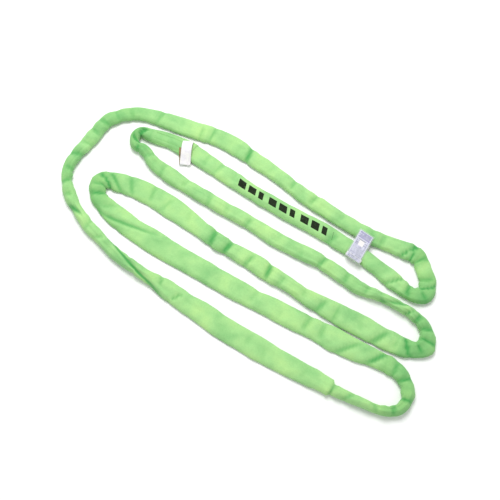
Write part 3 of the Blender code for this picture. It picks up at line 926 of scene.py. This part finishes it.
@dataclass
class SleeveShape:
    """Outline of the sleeve round its filling, with two pressed edges, its folds and ripples."""

    strand: Strand
    hank: YarnHank
    clearance: float = 0.0018
    top_columns: int = 26
    under_columns: int = 12
    flattening: float = 0.14
    # step and size of the edge's unevenness; below, a cuff's reach along the strand and its size
    wanders: tuple[Span, ...] = ((0.052, 0.0030), (0.023, 0.0012))
    cuff_swells: Span = (0.11, 0.0026)
    cuff_narrows: Span = (0.13, 0.0030)
    cuff_at: float = 2.898
    edge_room: float = 0.0006
    top_room: float = 0.0008
    drawn_in: float = 0.55
    steepest: float = 45
    pucker_step: float = 0.031
    pucker_size: float = 0.0013
    ripple_size: float = 0.0016
    pleat_size: float = 0.0024
    # painted shade given to the whole underside of the sleeve
    under_painted_shade: float = 0.25
    ears: tuple[Ear, ...] = (
        Ear(0.812, -1, 0.0110, 0.020), Ear(0.936, -1, 0.0060, 0.022), Ear(4.982, -1, 0.0130, 0.020),
        Ear(4.068, 1, 0.0090, 0.016), Ear(1.835, -1, 0.0030, 0.020), Ear(3.105, -1, 0.0020, 0.014),
    )
    folds: Folds = field(init=False)

    def __post_init__(self) -> None:
        """Lay out the folds round the loop."""
        self.folds = Folds(self.strand.length)

    def half_widths(self, station: Station, near: list[tuple[Fold, float]]) -> Span:
        """Half widths to the +side and the -side edge, which wander and draw in at a fold."""
        half = station.width / 2
        halves = []
        for side in (1.0, -1.0):
            wander = 0.0
            for step, size in self.wanders:
                wander += self.kinked(station.distance, side, step) * size
            drawn = 0.0
            for fold, past in near:
                slant = math.radians(min(max(fold.slant, -self.steepest), self.steepest))
                shift = past - side * half * math.tan(slant)
                drawn += self.drawn_in * fold.depth * fold.fade(side) * math.exp(-(shift / fold.width) ** 2)
            pucker = self.pucker(station, side, wander)
            halves.append(half - self.edge_room + wander - drawn + pucker + self.slack_room(station, side))
        return halves[0], halves[1]

    def pucker(self, station: Station, side: float, wander: float) -> float:
        """Short ripple of the edge on the inner side of a bend, shifted a little by its wander."""
        inner = max(0.0, side * math.copysign(1.0, station.turn))
        tight = min(1.0, abs(station.turn) * 0.07) * inner
        phase = station.distance * 2 * math.pi / self.pucker_step + 3 * wander / 0.002
        return math.sin(phase) * self.pucker_size * tight

    def slack_room(self, station: Station, side: float) -> float:
        """How far the edge stands out at the cuff, where one end is pushed into the other, and at ears."""
        before = self.cuff_at - station.distance
        room = 0.0
        if 0 <= before < self.cuff_swells[0]:
            room = self.cuff_swells[1] * (1 - before / self.cuff_swells[0]) ** 2
        elif -self.cuff_narrows[0] < before < 0:
            room = -self.cuff_narrows[1] * (1 + before / self.cuff_narrows[0])
        for ear in self.ears:
            if ear.side == side:
                room += ear.size * math.exp(-abs((station.distance - ear.at) / ear.length) ** 1.5)
        return room

    def kinked(self, distance: float, side: float, step: float) -> float:
        """Uneven edge of pressed cloth: straight stretches between blunt corners, from -1 to 1."""
        count = round(self.strand.length / step)
        turns = distance / self.strand.length * count
        number = math.floor(turns)
        first, second = (noise.noise(Vector((place % count * 2.7, side * 3.1, step * 90))) * 1.8
                         for place in (number, number + 1))
        share = turns - number
        return first + (second - first) * (share + 0.35 * share * (1 - share) * (2 * share - 1))

    def section(self, distance: float, inset: float = 0.0) -> tuple[list[Vector], list[float]]:
        """The closed outline at a distance, from the +side edge over the top and back underneath.

        Args:
            distance: metres from the lap's start.
            inset: how far the outline is set in, for the tucked end.

        Returns:
            The outline's points, and how much painted shade the cloth gets at each, from 0 to 1.
        """
        station = self.strand.station(distance)
        near = self.folds.near(distance % self.strand.length)
        left, right = self.half_widths(station, near)
        spread = station.spread
        edge = station.height * (0.42 - 0.16 * spread)
        top = station.height * (1 - self.flattening * min(1.0, spread / 0.6)) - self.top_room
        # a flat stretch has squarer shoulders and less slack than a bunched one
        squareness = 2.8 + 1.6 * spread
        shoulder = 0.60 + 0.10 * spread
        slack = 1 - 0.75 * spread
        # painted shade that darkens the cloth where the strand bends sharply
        bent = 0.42 * min(1.0, abs(station.turn) * 0.08)
        points, painted_shades = [], []
        for number in range(self.top_columns + 1):
            across = math.cos(math.pi * number / self.top_columns)
            crown = max(0.0, 1 - abs(across) ** squareness) ** shoulder
            dip = self.folds.depth(near, across, station.width / 2)
            ripple = noise.noise(Vector((distance * 40, across * 1.3, 4.2))) * self.ripple_size
            pleat = noise.noise(Vector((distance * 7, across * 3.3, 8.8))) * self.pleat_size * slack
            height = edge + (top - edge) * crown
            height += (ripple + pleat - dip) * (0.25 + 0.75 * crown)
            height = max(height, self.hank.roof(station, across * station.width / 2) + self.clearance)
            points.append(self.set_in(station, (left if across > 0 else right) * across, height, inset))
            # painted shade in each fold's valley, stronger on the crown, added to the painted shade of the
            # bend
            painted_shade = bent + min(1.0, max(0.0, dip - 0.0008) / 0.0036) * (0.35 + 0.65 * crown)
            painted_shades.append(min(1.0, painted_shade))
        for number in range(1, self.under_columns):
            across = -math.cos(math.pi * number / self.under_columns)
            height = edge * abs(across) ** (2.6 + 2.2 * spread)
            points.append(self.set_in(station, (left if across > 0 else right) * across, height, inset))
            # the underside gets an even painted shade
            painted_shades.append(self.under_painted_shade)
        return points, painted_shades

    def set_in(self, station: Station, across: float, height: float, inset: float) -> Vector:
        """Point of the outline, drawn in towards the section's middle."""
        if inset > 0:
            across *= 1 - 2 * inset / station.width
            height = inset + height * (1 - 2 * inset / station.height)
        return station.at(across, height)

    def girths(self) -> list[float]:
        """Place of each outline point round the flat tube, in metres, and its whole girth."""
        width = self.strand.flat_width
        over = [width * number / self.top_columns for number in range(self.top_columns + 1)]
        under = [width * (1 + number / self.under_columns) for number in range(1, self.under_columns + 1)]
        return over + under


@dataclass(frozen=True)
class Drape:
    """Settings of the cloth simulation that settles the sleeve over its filling."""

    frames: int = 14
    slack: float = 0.035
    mass: float = 0.15
    tension: float = 14.0
    bending: float = 0.35
    hold: float = 0.62
    furthest: float = 0.0035
    evenings: int = 2
    damping: float = 6.0
    friction: float = 6.0
    skin: float = 0.001
    gravity: float = 0.5

    def settle(self, piece: bpy.types.Object, solids: list[bpy.types.Object], pins: str) -> None:
        """Simulate the cloth over the solids and keep its last shape as the piece's mesh.

        Args:
            piece: the cloth.
            solids: what it lies on.
            pins: the vertex group that says how firmly each point is held.
        """
        for solid in solids:
            solid.modifiers.new("collision", "COLLISION")
            solid.collision.thickness_outer = self.skin
            solid.collision.cloth_friction = self.friction
        cloth = piece.modifiers.new("drape", "CLOTH")
        settings = cloth.settings
        settings.quality = 5
        settings.mass = self.mass
        settings.tension_stiffness = self.tension
        settings.compression_stiffness = self.tension
        settings.shear_stiffness = self.tension / 3
        settings.bending_stiffness = self.bending
        settings.tension_damping = self.damping
        settings.compression_damping = self.damping
        settings.shear_damping = self.damping
        settings.air_damping = 2.0
        settings.shrink_min = -self.slack
        settings.vertex_group_mass = pins
        settings.pin_stiffness = 1.0
        settings.effector_weights.gravity = self.gravity
        cloth.collision_settings.distance_min = self.skin
        cloth.collision_settings.use_self_collision = False
        before = np.empty(len(piece.data.vertices) * 3)
        piece.data.vertices.foreach_get("co", before)
        scene = bpy.context.scene
        for number in range(1, self.frames + 1):
            scene.frame_set(number)
        graph = bpy.context.evaluated_depsgraph_get()
        settled = bpy.data.meshes.new_from_object(piece.evaluated_get(graph), depsgraph=graph)
        piece.modifiers.clear()
        after = np.empty_like(before)
        settled.vertices.foreach_get("co", after)
        moved = self.evened(settled, (after - before).reshape(-1, 3))
        moved_by = np.maximum(np.linalg.norm(moved, axis=1), 1e-9)
        moved *= np.minimum(1.0, self.furthest / moved_by)[:, None]
        final = before.reshape(-1, 3) + moved
        final[:, 2] = np.maximum(final[:, 2], 0.0)
        settled.vertices.foreach_set("co", final.ravel())
        piece.data = settled
        scene.frame_set(1)

    def evened(self, mesh: bpy.types.Mesh, moved: np.ndarray) -> np.ndarray:
        """Average the cloth's movement over neighbouring points, which takes out its finest jitter."""
        ends = np.empty(len(mesh.edges) * 2, dtype=np.int64)
        mesh.edges.foreach_get("vertices", ends)
        first, second = ends.reshape(-1, 2).T
        for _ in range(self.evenings):
            total = moved.copy()
            count = np.ones(len(moved))
            for here, there in ((first, second), (second, first)):
                np.add.at(total, here, moved[there])
                np.add.at(count, here, 1.0)
            moved = total / count[:, None]
        return moved


@dataclass
class Sleeve:
    """The woven tube round the yarn hank, its end lapped over its tucked-in start."""

    strand: Strand
    hank: YarnHank
    wall: float = 0.0010
    lap: float = 0.120
    lap_inset: float = 0.0016
    lap_ramp: float = 0.02
    ring_step: float = 0.0060
    seam_start: float = 0.010
    seam_length: float = 0.076
    seam_rows: tuple[float, ...] = (0.0178, 0.0085, -0.0085, -0.0178)
    seam_fade: float = 0.006
    seam_reach: float = 0.0026
    seam_pull: float = 0.0014
    sewn_reach: float = 0.03
    drape: Drape = field(default_factory=Drape)
    shape: SleeveShape = field(init=False)

    def __post_init__(self) -> None:
        """Take the outline of this strand."""
        self.shape = SleeveShape(self.strand, self.hank)

    def inset_at(self, distance: float) -> float:
        """How far the tube is set in: its tucked start lies inside the lap."""
        if distance <= self.lap:
            return self.lap_inset
        return self.lap_inset * max(0.0, 1 - (distance - self.lap) / self.lap_ramp)

    def quilted(self, distance: float, points: list[Vector]) -> list[Vector]:
        """Draw an outline of the lap down where the rows of stitches hold it."""
        place = distance % self.strand.length
        ends = min(place - self.seam_start, self.seam_start + self.seam_length - place)
        if ends < -self.seam_fade:
            return points
        station = self.strand.station(place)
        drawn = []
        for point in points:
            across = (point - station.centre).dot(station.side)
            pull = max(math.exp(-((across - row) / self.seam_reach) ** 2) for row in self.seam_rows)
            if point.z < station.height * 0.5:
                pull = 0.0
            drawn.append(point - UP * self.seam_pull * pull * min(1.0, 1 + ends / self.seam_fade))
        return drawn

    def tube(self) -> tuple[bpy.types.Mesh, list[float]]:
        """Sweep the tube from its tucked start, once round, to its lapped end."""
        end = self.strand.length + self.lap
        count = round(end / self.ring_step)
        along = [end * number / count for number in range(count + 1)]
        sweep = Sweep()
        for distance in along:
            points, painted_shades = self.shape.section(distance, self.inset_at(distance))
            sweep.add(self.quilted(distance, points), painted_shades)
        return mesh_from(sweep.skin(along, self.shape.girths()), "sleeve_cloth"), along

    def build(self, material: bpy.types.Material) -> bpy.types.Object:
        """Make the draped, finished sleeve."""
        mesh, along = self.tube()
        piece = link_piece(mesh, "sleeve_cloth", material)
        self.settle(piece, along)
        wall = piece.modifiers.new("wall", "SOLIDIFY")
        wall.thickness = self.wall
        wall.offset = -1.0
        wall.use_rim = True
        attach(piece, "root")
        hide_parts("sleeve")
        LOG.info("sleeve: %d rings", len(along))
        return piece

    def settle(self, piece: bpy.types.Object, along: list[float]) -> None:
        """Let the cloth settle over the hank and the ground; the lap is sewn and stays."""
        pins = piece.vertex_groups.new(name="held")
        sides = self.shape.top_columns + self.shape.under_columns
        for number, distance in enumerate(along):
            beyond = max(0.0, min(distance - self.lap, self.strand.length - distance))
            weight = max(self.drape.hold, 1 - beyond / self.sewn_reach)
            pins.add(list(range(number * sides, (number + 1) * sides)), weight, "REPLACE")
        hank = link_piece(self.hank.mesh("hank_solid"), "hank_solid", piece.data.materials[0])
        bm = bmesh.new()
        bmesh.ops.create_grid(bm, x_segments=1, y_segments=1, size=1.5)
        ground = link_piece(mesh_from(bm, "ground_solid"), "ground_solid", piece.data.materials[0])
        ground.location.z = -0.001
        self.drape.settle(piece, [hank, ground], "held")
        for solid in (hank, ground):
            bpy.data.objects.remove(solid)


# ------------------------------------------------------------------ stitching
def path_lengths(path: Path) -> list[float]:
    """Distance of each point of a path from its first one, in metres."""
    run = [0.0]
    for (first, _), (second, _) in zip(path, path[1:]):
        run.append(run[-1] + (second - first).length)
    return run


@dataclass
class StitchRow:
    """Row of lock stitches: short twisted threads that dive into the cloth at both ends."""

    name: str
    node: str
    slot: str
    length: float = 0.0036
    gap: float = 0.0008
    width: float = 0.0010
    sides: int = 6

    def capsule(self, bm: bmesh.types.BMesh, start: Vector, end: Vector, out: Vector) -> None:
        """Draw one stitch as a bowed thread with round ends."""
        along = (end - start).normalized()
        beside = along.cross(out)
        radius = self.width / 2
        rings, loops = [], []
        for share, swell in ((0.0, 0.35), (0.12, 0.85), (0.5, 1.0), (0.88, 0.85), (1.0, 0.35)):
            middle = start.lerp(end, share) + out * (radius * 0.7 * math.sin(math.pi * share) - radius * 0.25)
            ring = []
            for number in range(self.sides):
                angle = 2 * math.pi * number / self.sides
                around = beside * math.cos(angle) + out * math.sin(angle)
                ring.append(bm.verts.new(middle + around * radius * swell))
            rings.append(ring)
            loops.append([bm.edges.new((ring[n], ring[(n + 1) % self.sides])) for n in range(self.sides)])
        for first, second in zip(loops, loops[1:]):
            bmesh.ops.bridge_loops(bm, edges=first + second)
        for ring in (rings[0], rings[-1]):
            bmesh.ops.contextual_create(bm, geom=ring)

    def build(self, path: Path, material: bpy.types.Material) -> bpy.types.Object:
        """Sew stitches along a path on a surface.

        Args:
            path: points on the surface with its outward direction, close together.
            material: the thread's.

        Returns:
            The row, as one piece.
        """
        bm = bmesh.new()
        run = path_lengths(path)

        def place(distance: float) -> tuple[Vector, Vector]:
            """Point and outward direction at a distance along the path."""
            index = max(1, next((n for n, total in enumerate(run) if total >= distance), len(run) - 1))
            share = (distance - run[index - 1]) / (run[index] - run[index - 1])
            return (path[index - 1][0].lerp(path[index][0], share),
                    path[index - 1][1].lerp(path[index][1], share).normalized())

        count = int((run[-1] + self.gap) / (self.length + self.gap))
        for number in range(count):
            begin = number * (self.length + self.gap)
            start, out = place(begin)
            end, _ = place(begin + self.length)
            self.capsule(bm, start, end, out)
        piece = link_piece(mesh_from(bm, self.name), self.name, material)
        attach(piece, "root")
        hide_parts(self.node)
        return piece


def dropped(tree: BVHTree, point: Vector, lift: float = 0.05) -> tuple[Vector, Vector] | None:
    """Drop a point straight down onto a surface; gives where it lands and the way out of it."""
    hit, normal, _, _ = tree.ray_cast(point + UP * lift, -UP)
    if hit is None:
        return None
    return hit, (normal if normal.z > 0 else -normal)


def surface_of(piece: bpy.types.Object) -> BVHTree:
    """Search tree of a piece's finished surface."""
    return BVHTree.FromObject(piece, bpy.context.evaluated_depsgraph_get())


@dataclass
class Closure:
    """Rows of stitches that close the sleeve along its lap."""

    strand: Strand
    sleeve: Sleeve
    steps: int = 38

    def build(self, cloth: BVHTree, material: bpy.types.Material) -> None:
        """Sew each row onto the settled sleeve."""
        for number, row in enumerate(self.sleeve.seam_rows, start=1):
            path = []
            for step in range(self.steps + 1):
                distance = self.sleeve.seam_start + self.sleeve.seam_length * step / self.steps
                found = dropped(cloth, self.strand.station(distance).at(row, 0.02))
                if found:
                    path.append(found)
            stitches = StitchRow(f"closure_thread_{number}", f"closure_stitch_{number}", "sleeve_thread")
            stitches.build(path, material)


# ------------------------------------------------------------------ sewn strips
@dataclass
class Strip:
    """Flat strip of tape or film that follows a path, with rounded edges."""

    width: float
    thickness: float
    columns: int = 14
    rim: float = 0.0
    rim_width: float = 0.003

    def outline(self, centre: Vector, beside: Vector, out: Vector, closing: float = 1.0) -> list[Vector]:
        """Closed outline of the strip: over its outer face and back along its inner one."""
        half = self.width / 2
        upper, lower = [], []
        for number in range(self.columns + 1):
            across = -half + self.width * number / self.columns
            edge = min(1.0, (half - abs(across)) / self.rim_width)
            body = self.thickness / 2
            if self.rim > 0:
                body = self.rim / 2 + (self.thickness - self.rim) / 2 * edge ** 0.5
            elif edge < 0.05:
                body *= 0.5
            body *= closing
            upper.append(centre + beside * across + out * body)
            lower.append(centre + beside * across - out * body)
        return upper + lower[::-1]

    def around(self) -> list[float]:
        """Metres round the outline, for the cloth map."""
        over = [self.width * number / self.columns for number in range(self.columns + 1)]
        return over + [self.width + 1e-4 + place for place in over] + [2 * self.width + 2e-4]

    def mesh(self, path: Path, beside: Vector, name: str,
             tilt: Callable[[float], float] = lambda share: 0.0) -> bpy.types.Mesh:
        """Sweep the strip along a path.

        Args:
            path: centre points with the outward direction at each.
            beside: direction of the strip's width.
            name: the mesh's name.
            tilt: degrees that the strip rolls about its path, from the share of the path run.

        Returns:
            The closed strip.
        """
        sweep = Sweep()
        along = path_lengths(path)
        for number, (centre, out) in enumerate(path):
            closing = 0.55 if number in (0, len(path) - 1) else 1.0
            roll = math.radians(tilt(along[number] / along[-1]))
            across = beside * math.cos(roll) - out * math.sin(roll)
            sweep.add(self.outline(centre, across, out * math.cos(roll) + beside * math.sin(roll), closing))
        return mesh_from(sweep.skin(along, self.around(), cap=True), name)


def smooth_path(points: list[Vector], beside: Vector, steps: int) -> Path:
    """Run a smooth curve through points, with the outward direction square to it.

    Args:
        points: where the curve passes.
        beside: direction of the strip's width.
        steps: pieces between two points.

    Returns:
        Points of the curve with the outward direction at each.
    """
    ends = [points[0] * 2 - points[1]] + points + [points[-1] * 2 - points[-2]]
    places = []
    for near in zip(ends, ends[1:], ends[2:], ends[3:]):
        places += [catmull_rom(near, step / steps) for step in range(steps)]
    places.append(points[-1])
    path = []
    for number, place in enumerate(places):
        ahead = places[min(number + 1, len(places) - 1)] - places[max(number - 1, 0)]
        path.append((place, beside.cross(ahead).normalized()))
    return path


def facing_up(path: Path, number: int = 0) -> Path:
    """Turn a path's outward directions round if the numbered one points down."""
    return [(place, -out) for place, out in path] if path[number][1].z < 0 else path


# ------------------------------------------------------------------ identity label
@dataclass
class Label:
    """Clear pouch with a printed card, sewn to the near edge of the sleeve and folded over it."""

    strand: Strand
    centre: float = 0.622
    width: float = 0.043
    length: float = 0.080
    thickness: float = 0.0018
    rim: float = 0.0007
    margin: float = 0.0033
    overhang: float = 0.002
    skew: float = -0.13
    sag: float = 0.0032
    card_thickness: float = 0.00036
    card_rows: int = 24
    hem_thickness: float = 0.0012
    hem_margin: float = 0.002
    stitch_points: int = 20

    def build(self, film: bpy.types.Material, card: bpy.types.Material, tape: bpy.types.Material,
              thread: bpy.types.Material) -> None:
        """Make the pouch, the card, the tongue and its stitches."""
        self.station = self.strand.station(self.centre)
        self.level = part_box("label_cover")[0][2] + self.thickness / 2
        self.near = -(self.station.width / 2 + self.overhang)
        self.build_pouch(film)
        self.build_card(card)
        self.build_tongue(tape, thread)
        LOG.info("label at %.3f m", self.centre)

    def rest_height(self, across: float) -> float:
        """Height of the pouch's middle: it sags from the fold onto the two runs it lies on."""
        share = (across - self.near) / self.length
        settled = min(1.0, share / 0.18)
        rise = 1 - 0.75 * max(0.0, share) ** 2
        return self.level - self.sag * rise * settled ** 2 * (3 - 2 * settled) + 0.0004 * math.sin(9 * share)

    def spot(self, across: float) -> Vector:
        """Middle of the pouch at a distance across the strand; the pouch lies a little askew."""
        drift = self.station.travel * self.skew * max(0.0, across - self.near)
        return self.station.at(across, self.rest_height(across)) + drift

    def pouch_points(self) -> list[Vector]:
        """Places across the strand, from the pouch's far end round the fold and down the side."""
        lying = [self.spot(self.near + self.length * (1 - number / 8.6)) for number in range(9)]
        turned = ((0.0006, 0.0), (-0.0012, -0.0022), (-0.0010, -0.0052), (0.0008, -0.0090))
        return lying + [self.station.at(self.near + across, self.level + height) for across, height in turned]

    def build_pouch(self, film: bpy.types.Material) -> None:
        """Sweep the pouch, with its welded rims, over the fold."""
        path = facing_up(smooth_path(self.pouch_points(), -self.station.travel, 4), 2)
        strip = Strip(self.width, self.thickness, columns=16, rim=self.rim, rim_width=self.margin)
        mesh = strip.mesh(path, self.station.travel, "label_pouch")
        piece = link_piece(mesh, "label_pouch", film)
        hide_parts("label_cover")
        hinge = self.station.at(self.near, self.level)
        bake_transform(piece)

    def build_card(self, card: bpy.types.Material) -> None:
        """Lay the printed card inside the pouch."""
        width = self.width - 2 * self.margin
        length = self.length - self.margin
        sweep = Sweep()
        thick = UP * self.card_thickness / 2
        edge = self.station.travel * width / 2
        for row in range(self.card_rows + 1):
            middle = self.spot(self.near + length * row / self.card_rows)
            sweep.add([middle - edge - thick, middle + edge - thick,
                       middle + edge + thick, middle - edge + thick])
        along = [length * row / self.card_rows for row in range(self.card_rows + 1)]
        skin = sweep.skin(along, [0.0, width, width, 0.0, 0.0], cap=True, uv_map="print")
        piece = link_piece(mesh_from(skin, "label_card"), "label_card", card)
        piece.data.set_sharp_from_angle(angle=math.radians(40))
        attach(piece, "label_flap")
        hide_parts("label_insert")

    def build_tongue(self, tape: bpy.types.Material, thread: bpy.types.Material) -> None:
        """Hem the pouch's root to the sleeve's near edge with tape and two rows of stitches."""
        inward = self.near + 0.0030
        # places across the strand and down from the pouch
        turned = ((0.0075, 0.0022), (0.0030, 0.0024), (-0.0002, 0.0040), (-0.0008, 0.0075), (-0.0004, 0.0110),
                  (0.0022, 0.0142))
        points = [self.station.at(inward + across, self.level - down) for across, down in turned]
        path = facing_up(smooth_path(points, -self.station.travel, 4))
        strip = Strip(self.width, self.hem_thickness, columns=10)
        piece = link_piece(strip.mesh(path, self.station.travel, "label_hem"), "label_hem", tape)
        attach(piece, "root")
        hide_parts("label_tongue")
        for number, place in enumerate((len(path) - 9, len(path) - 5), start=1):
            centre, out = path[place]
            row = []
            for step in range(self.stitch_points + 1):
                reach = self.width - 2 * self.hem_margin
                across = -self.width / 2 + self.hem_margin + reach * step / self.stitch_points
                row.append((centre + self.station.travel * across + out * self.hem_thickness / 2, out))
            stitches = StitchRow(f"label_thread_{number}", f"label_stitch_{number}", "white_thread")
            stitches.build(row, thread)


# ------------------------------------------------------------------ white tag
@dataclass
class Tag:
    """White tape folded to a loop: sewn across the strand, its free end over the near edge."""

    strand: Strand
    centre: float = 0.102
    thickness: float = 0.0008
    reach: float = 0.022
    skew: float = 0.50
    roll: float = -12.0
    drift: float = 0.0008
    top_points: int = 8
    stitch_points: int = 16

    def build(self, cloth: BVHTree, tape: bpy.types.Material, thread: bpy.types.Material) -> None:
        """Make the tape and the stitches that hold it."""
        station = self.strand.station(self.centre)
        # the tape crosses the strand at a slant
        across_way = (station.side - station.travel * self.skew).normalized()
        beside = UP.cross(across_way).normalized()
        if beside.dot(station.travel) < 0:
            beside = -beside
        half = station.width / 2
        origin = station.centre

        def on_cloth(across: float, lift: float) -> Vector:
            """Point of the tape above the cloth."""
            spot = origin + across_way * across
            found = dropped(cloth, spot + UP * 0.02)
            height = found[0].z if found else station.height * 0.4
            return Vector((spot.x, spot.y, height + lift))

        def beyond(across: float, height: float) -> Vector:
            """Point of the tape past the strand's near edge."""
            return origin + across_way * across + UP * height

        tip = -(half + self.reach)
        points = [
            on_cloth(half - 0.003, 0.0010), on_cloth(half - 0.009, 0.0020), on_cloth(half * 0.35, 0.0052),
            on_cloth(-half * 0.05, 0.0074), on_cloth(-half * 0.45, 0.0080),
            beyond(-half * 0.85, station.height * 1.02), beyond(-half - 0.004, station.height * 0.78),
            beyond(tip + 0.008, 0.0098), beyond(tip + 0.001, 0.0072), beyond(tip, 0.0058),
            beyond(tip + 0.001, 0.0046), beyond(tip + 0.008, 0.0050), beyond(-half - 0.0042, 0.0078),
            beyond(-half + 0.0005, station.height * 0.52), on_cloth(-half * 0.72, 0.0009),
            on_cloth(-half * 0.45, 0.0007), on_cloth(-half * 0.1, 0.0007),
        ]
        # the under layer drifts to one side, so its inner face shows along that edge; its dark tan colour is
        # partly the tape's own back and partly painted shade inside the loop
        points = [point - beside * self.drift * max(0, number - self.top_points)
                  for number, point in enumerate(points)]
        path = facing_up(smooth_path(points, -beside, 3))
        strip = Strip(TAG_WIDTH, self.thickness, columns=12)
        mesh = strip.mesh(path, beside, "tag_tape",
                          lambda share: self.roll * max(0.0, math.sin(math.pi * share / 0.55)))
        piece = link_piece(mesh, "tag_tape", tape)
        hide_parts("tag_band", "tag_tail")
        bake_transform(piece)
        flat = path_lengths(path)[-1]

        tape_surface = surface_of(piece)
        row = []
        for step in range(self.stitch_points + 1):
            share = step / self.stitch_points - 0.5
            spot = origin + across_way * (half - 0.0065) + beside * TAG_WIDTH * share * 0.86
            found = dropped(tape_surface, spot + UP * 0.02)
            if found:
                row.append(found)
        StitchRow("tag_thread", "tag_stitch_1", "white_thread").build(row, thread)


# ------------------------------------------------------------------ studio
@dataclass
class Studio:
    """Camera, floor and light: a plain pale floor under soft light."""

    azimuth: float = 32.0
    elevation: float = 66.0
    distance: float = 2.057
    lens: float = 60.0
    aim: Point = (0.0129, -0.0057, 0.0)
    room_light: float = 0.66
    softbox_size: float = 1.7
    softbox_watts: float = 62.0

    def camera(self) -> None:
        """Place the camera."""
        turn = math.radians(self.azimuth)
        lift = math.radians(self.elevation)
        back = Vector((math.sin(turn) * math.cos(lift), -math.cos(turn) * math.cos(lift), math.sin(lift)))
        data = bpy.data.cameras.new("camera")
        data.lens = self.lens
        camera = bpy.data.objects.new("camera", data)
        camera.location = Vector(self.aim) + back * self.distance
        camera.rotation_euler = (-back).to_track_quat("-Z", "Y").to_euler()
        bpy.context.scene.collection.objects.link(camera)
        bpy.context.scene.camera = camera

    def floor(self) -> None:
        """Lay a pale matt floor far past the view."""
        bm = bmesh.new()
        bmesh.ops.create_grid(bm, x_segments=2, y_segments=2, size=6.0)
        material, tree = new_material("painted_floor")
        set_node(tree, tree.nodes["Principled BSDF"], {"Base Color": linear("#FBFBFB"), "Roughness": 0.9})
        floor = link_piece(mesh_from(bm, "floor"), "floor", material)
        floor.location.z = -0.0004

    def lights(self) -> None:
        """Hang one wide soft light overhead and light the room evenly."""
        world = bpy.data.worlds.new("room")
        world.use_nodes = True
        background = {"Color": (1.0, 1.0, 1.0, 1.0), "Strength": self.room_light}
        set_node(world.node_tree, world.node_tree.nodes["Background"], background)
        bpy.context.scene.world = world
        data = bpy.data.lights.new("softbox", "AREA")
        data.shape = "DISK"
        data.size = self.softbox_size
        data.energy = self.softbox_watts
        light = bpy.data.objects.new("softbox", data)
        light.location = (-0.8, 1.0, 2.6)
        light.rotation_euler = (-light.location).to_track_quat("-Z", "Y").to_euler()
        bpy.context.scene.collection.objects.link(light)

    def build(self) -> None:
        """Set up the whole studio."""
        bpy.context.scene.view_settings.view_transform = "Standard"
        self.camera()
        self.floor()
        self.lights()


def main() -> None:
    """Build the sling's looks in order."""
    logging.basicConfig(level=logging.INFO, format="%(name)s %(message)s")
    Studio().build()
    strand = Strand()
    hank = YarnHank(strand)
    hank.build(LoadYarn().build())
    hank.build_binding(BINDING_TAPE.build())
    sleeve = Sleeve(strand, hank)
    cloth = surface_of(sleeve.build(SLEEVE_CLOTH.build()))
    green_thread = GREEN_THREAD.build()
    white_thread = WHITE_THREAD.build()
    Closure(strand, sleeve).build(cloth, green_thread)
    Label(strand).build(ClearVinyl().build(), PrintedCard().build(), HEM_TAPE.build(), white_thread)
    Tag(strand).build(cloth, TAG_TAPE.build(), white_thread)


if __name__ == "__main__":
    main()
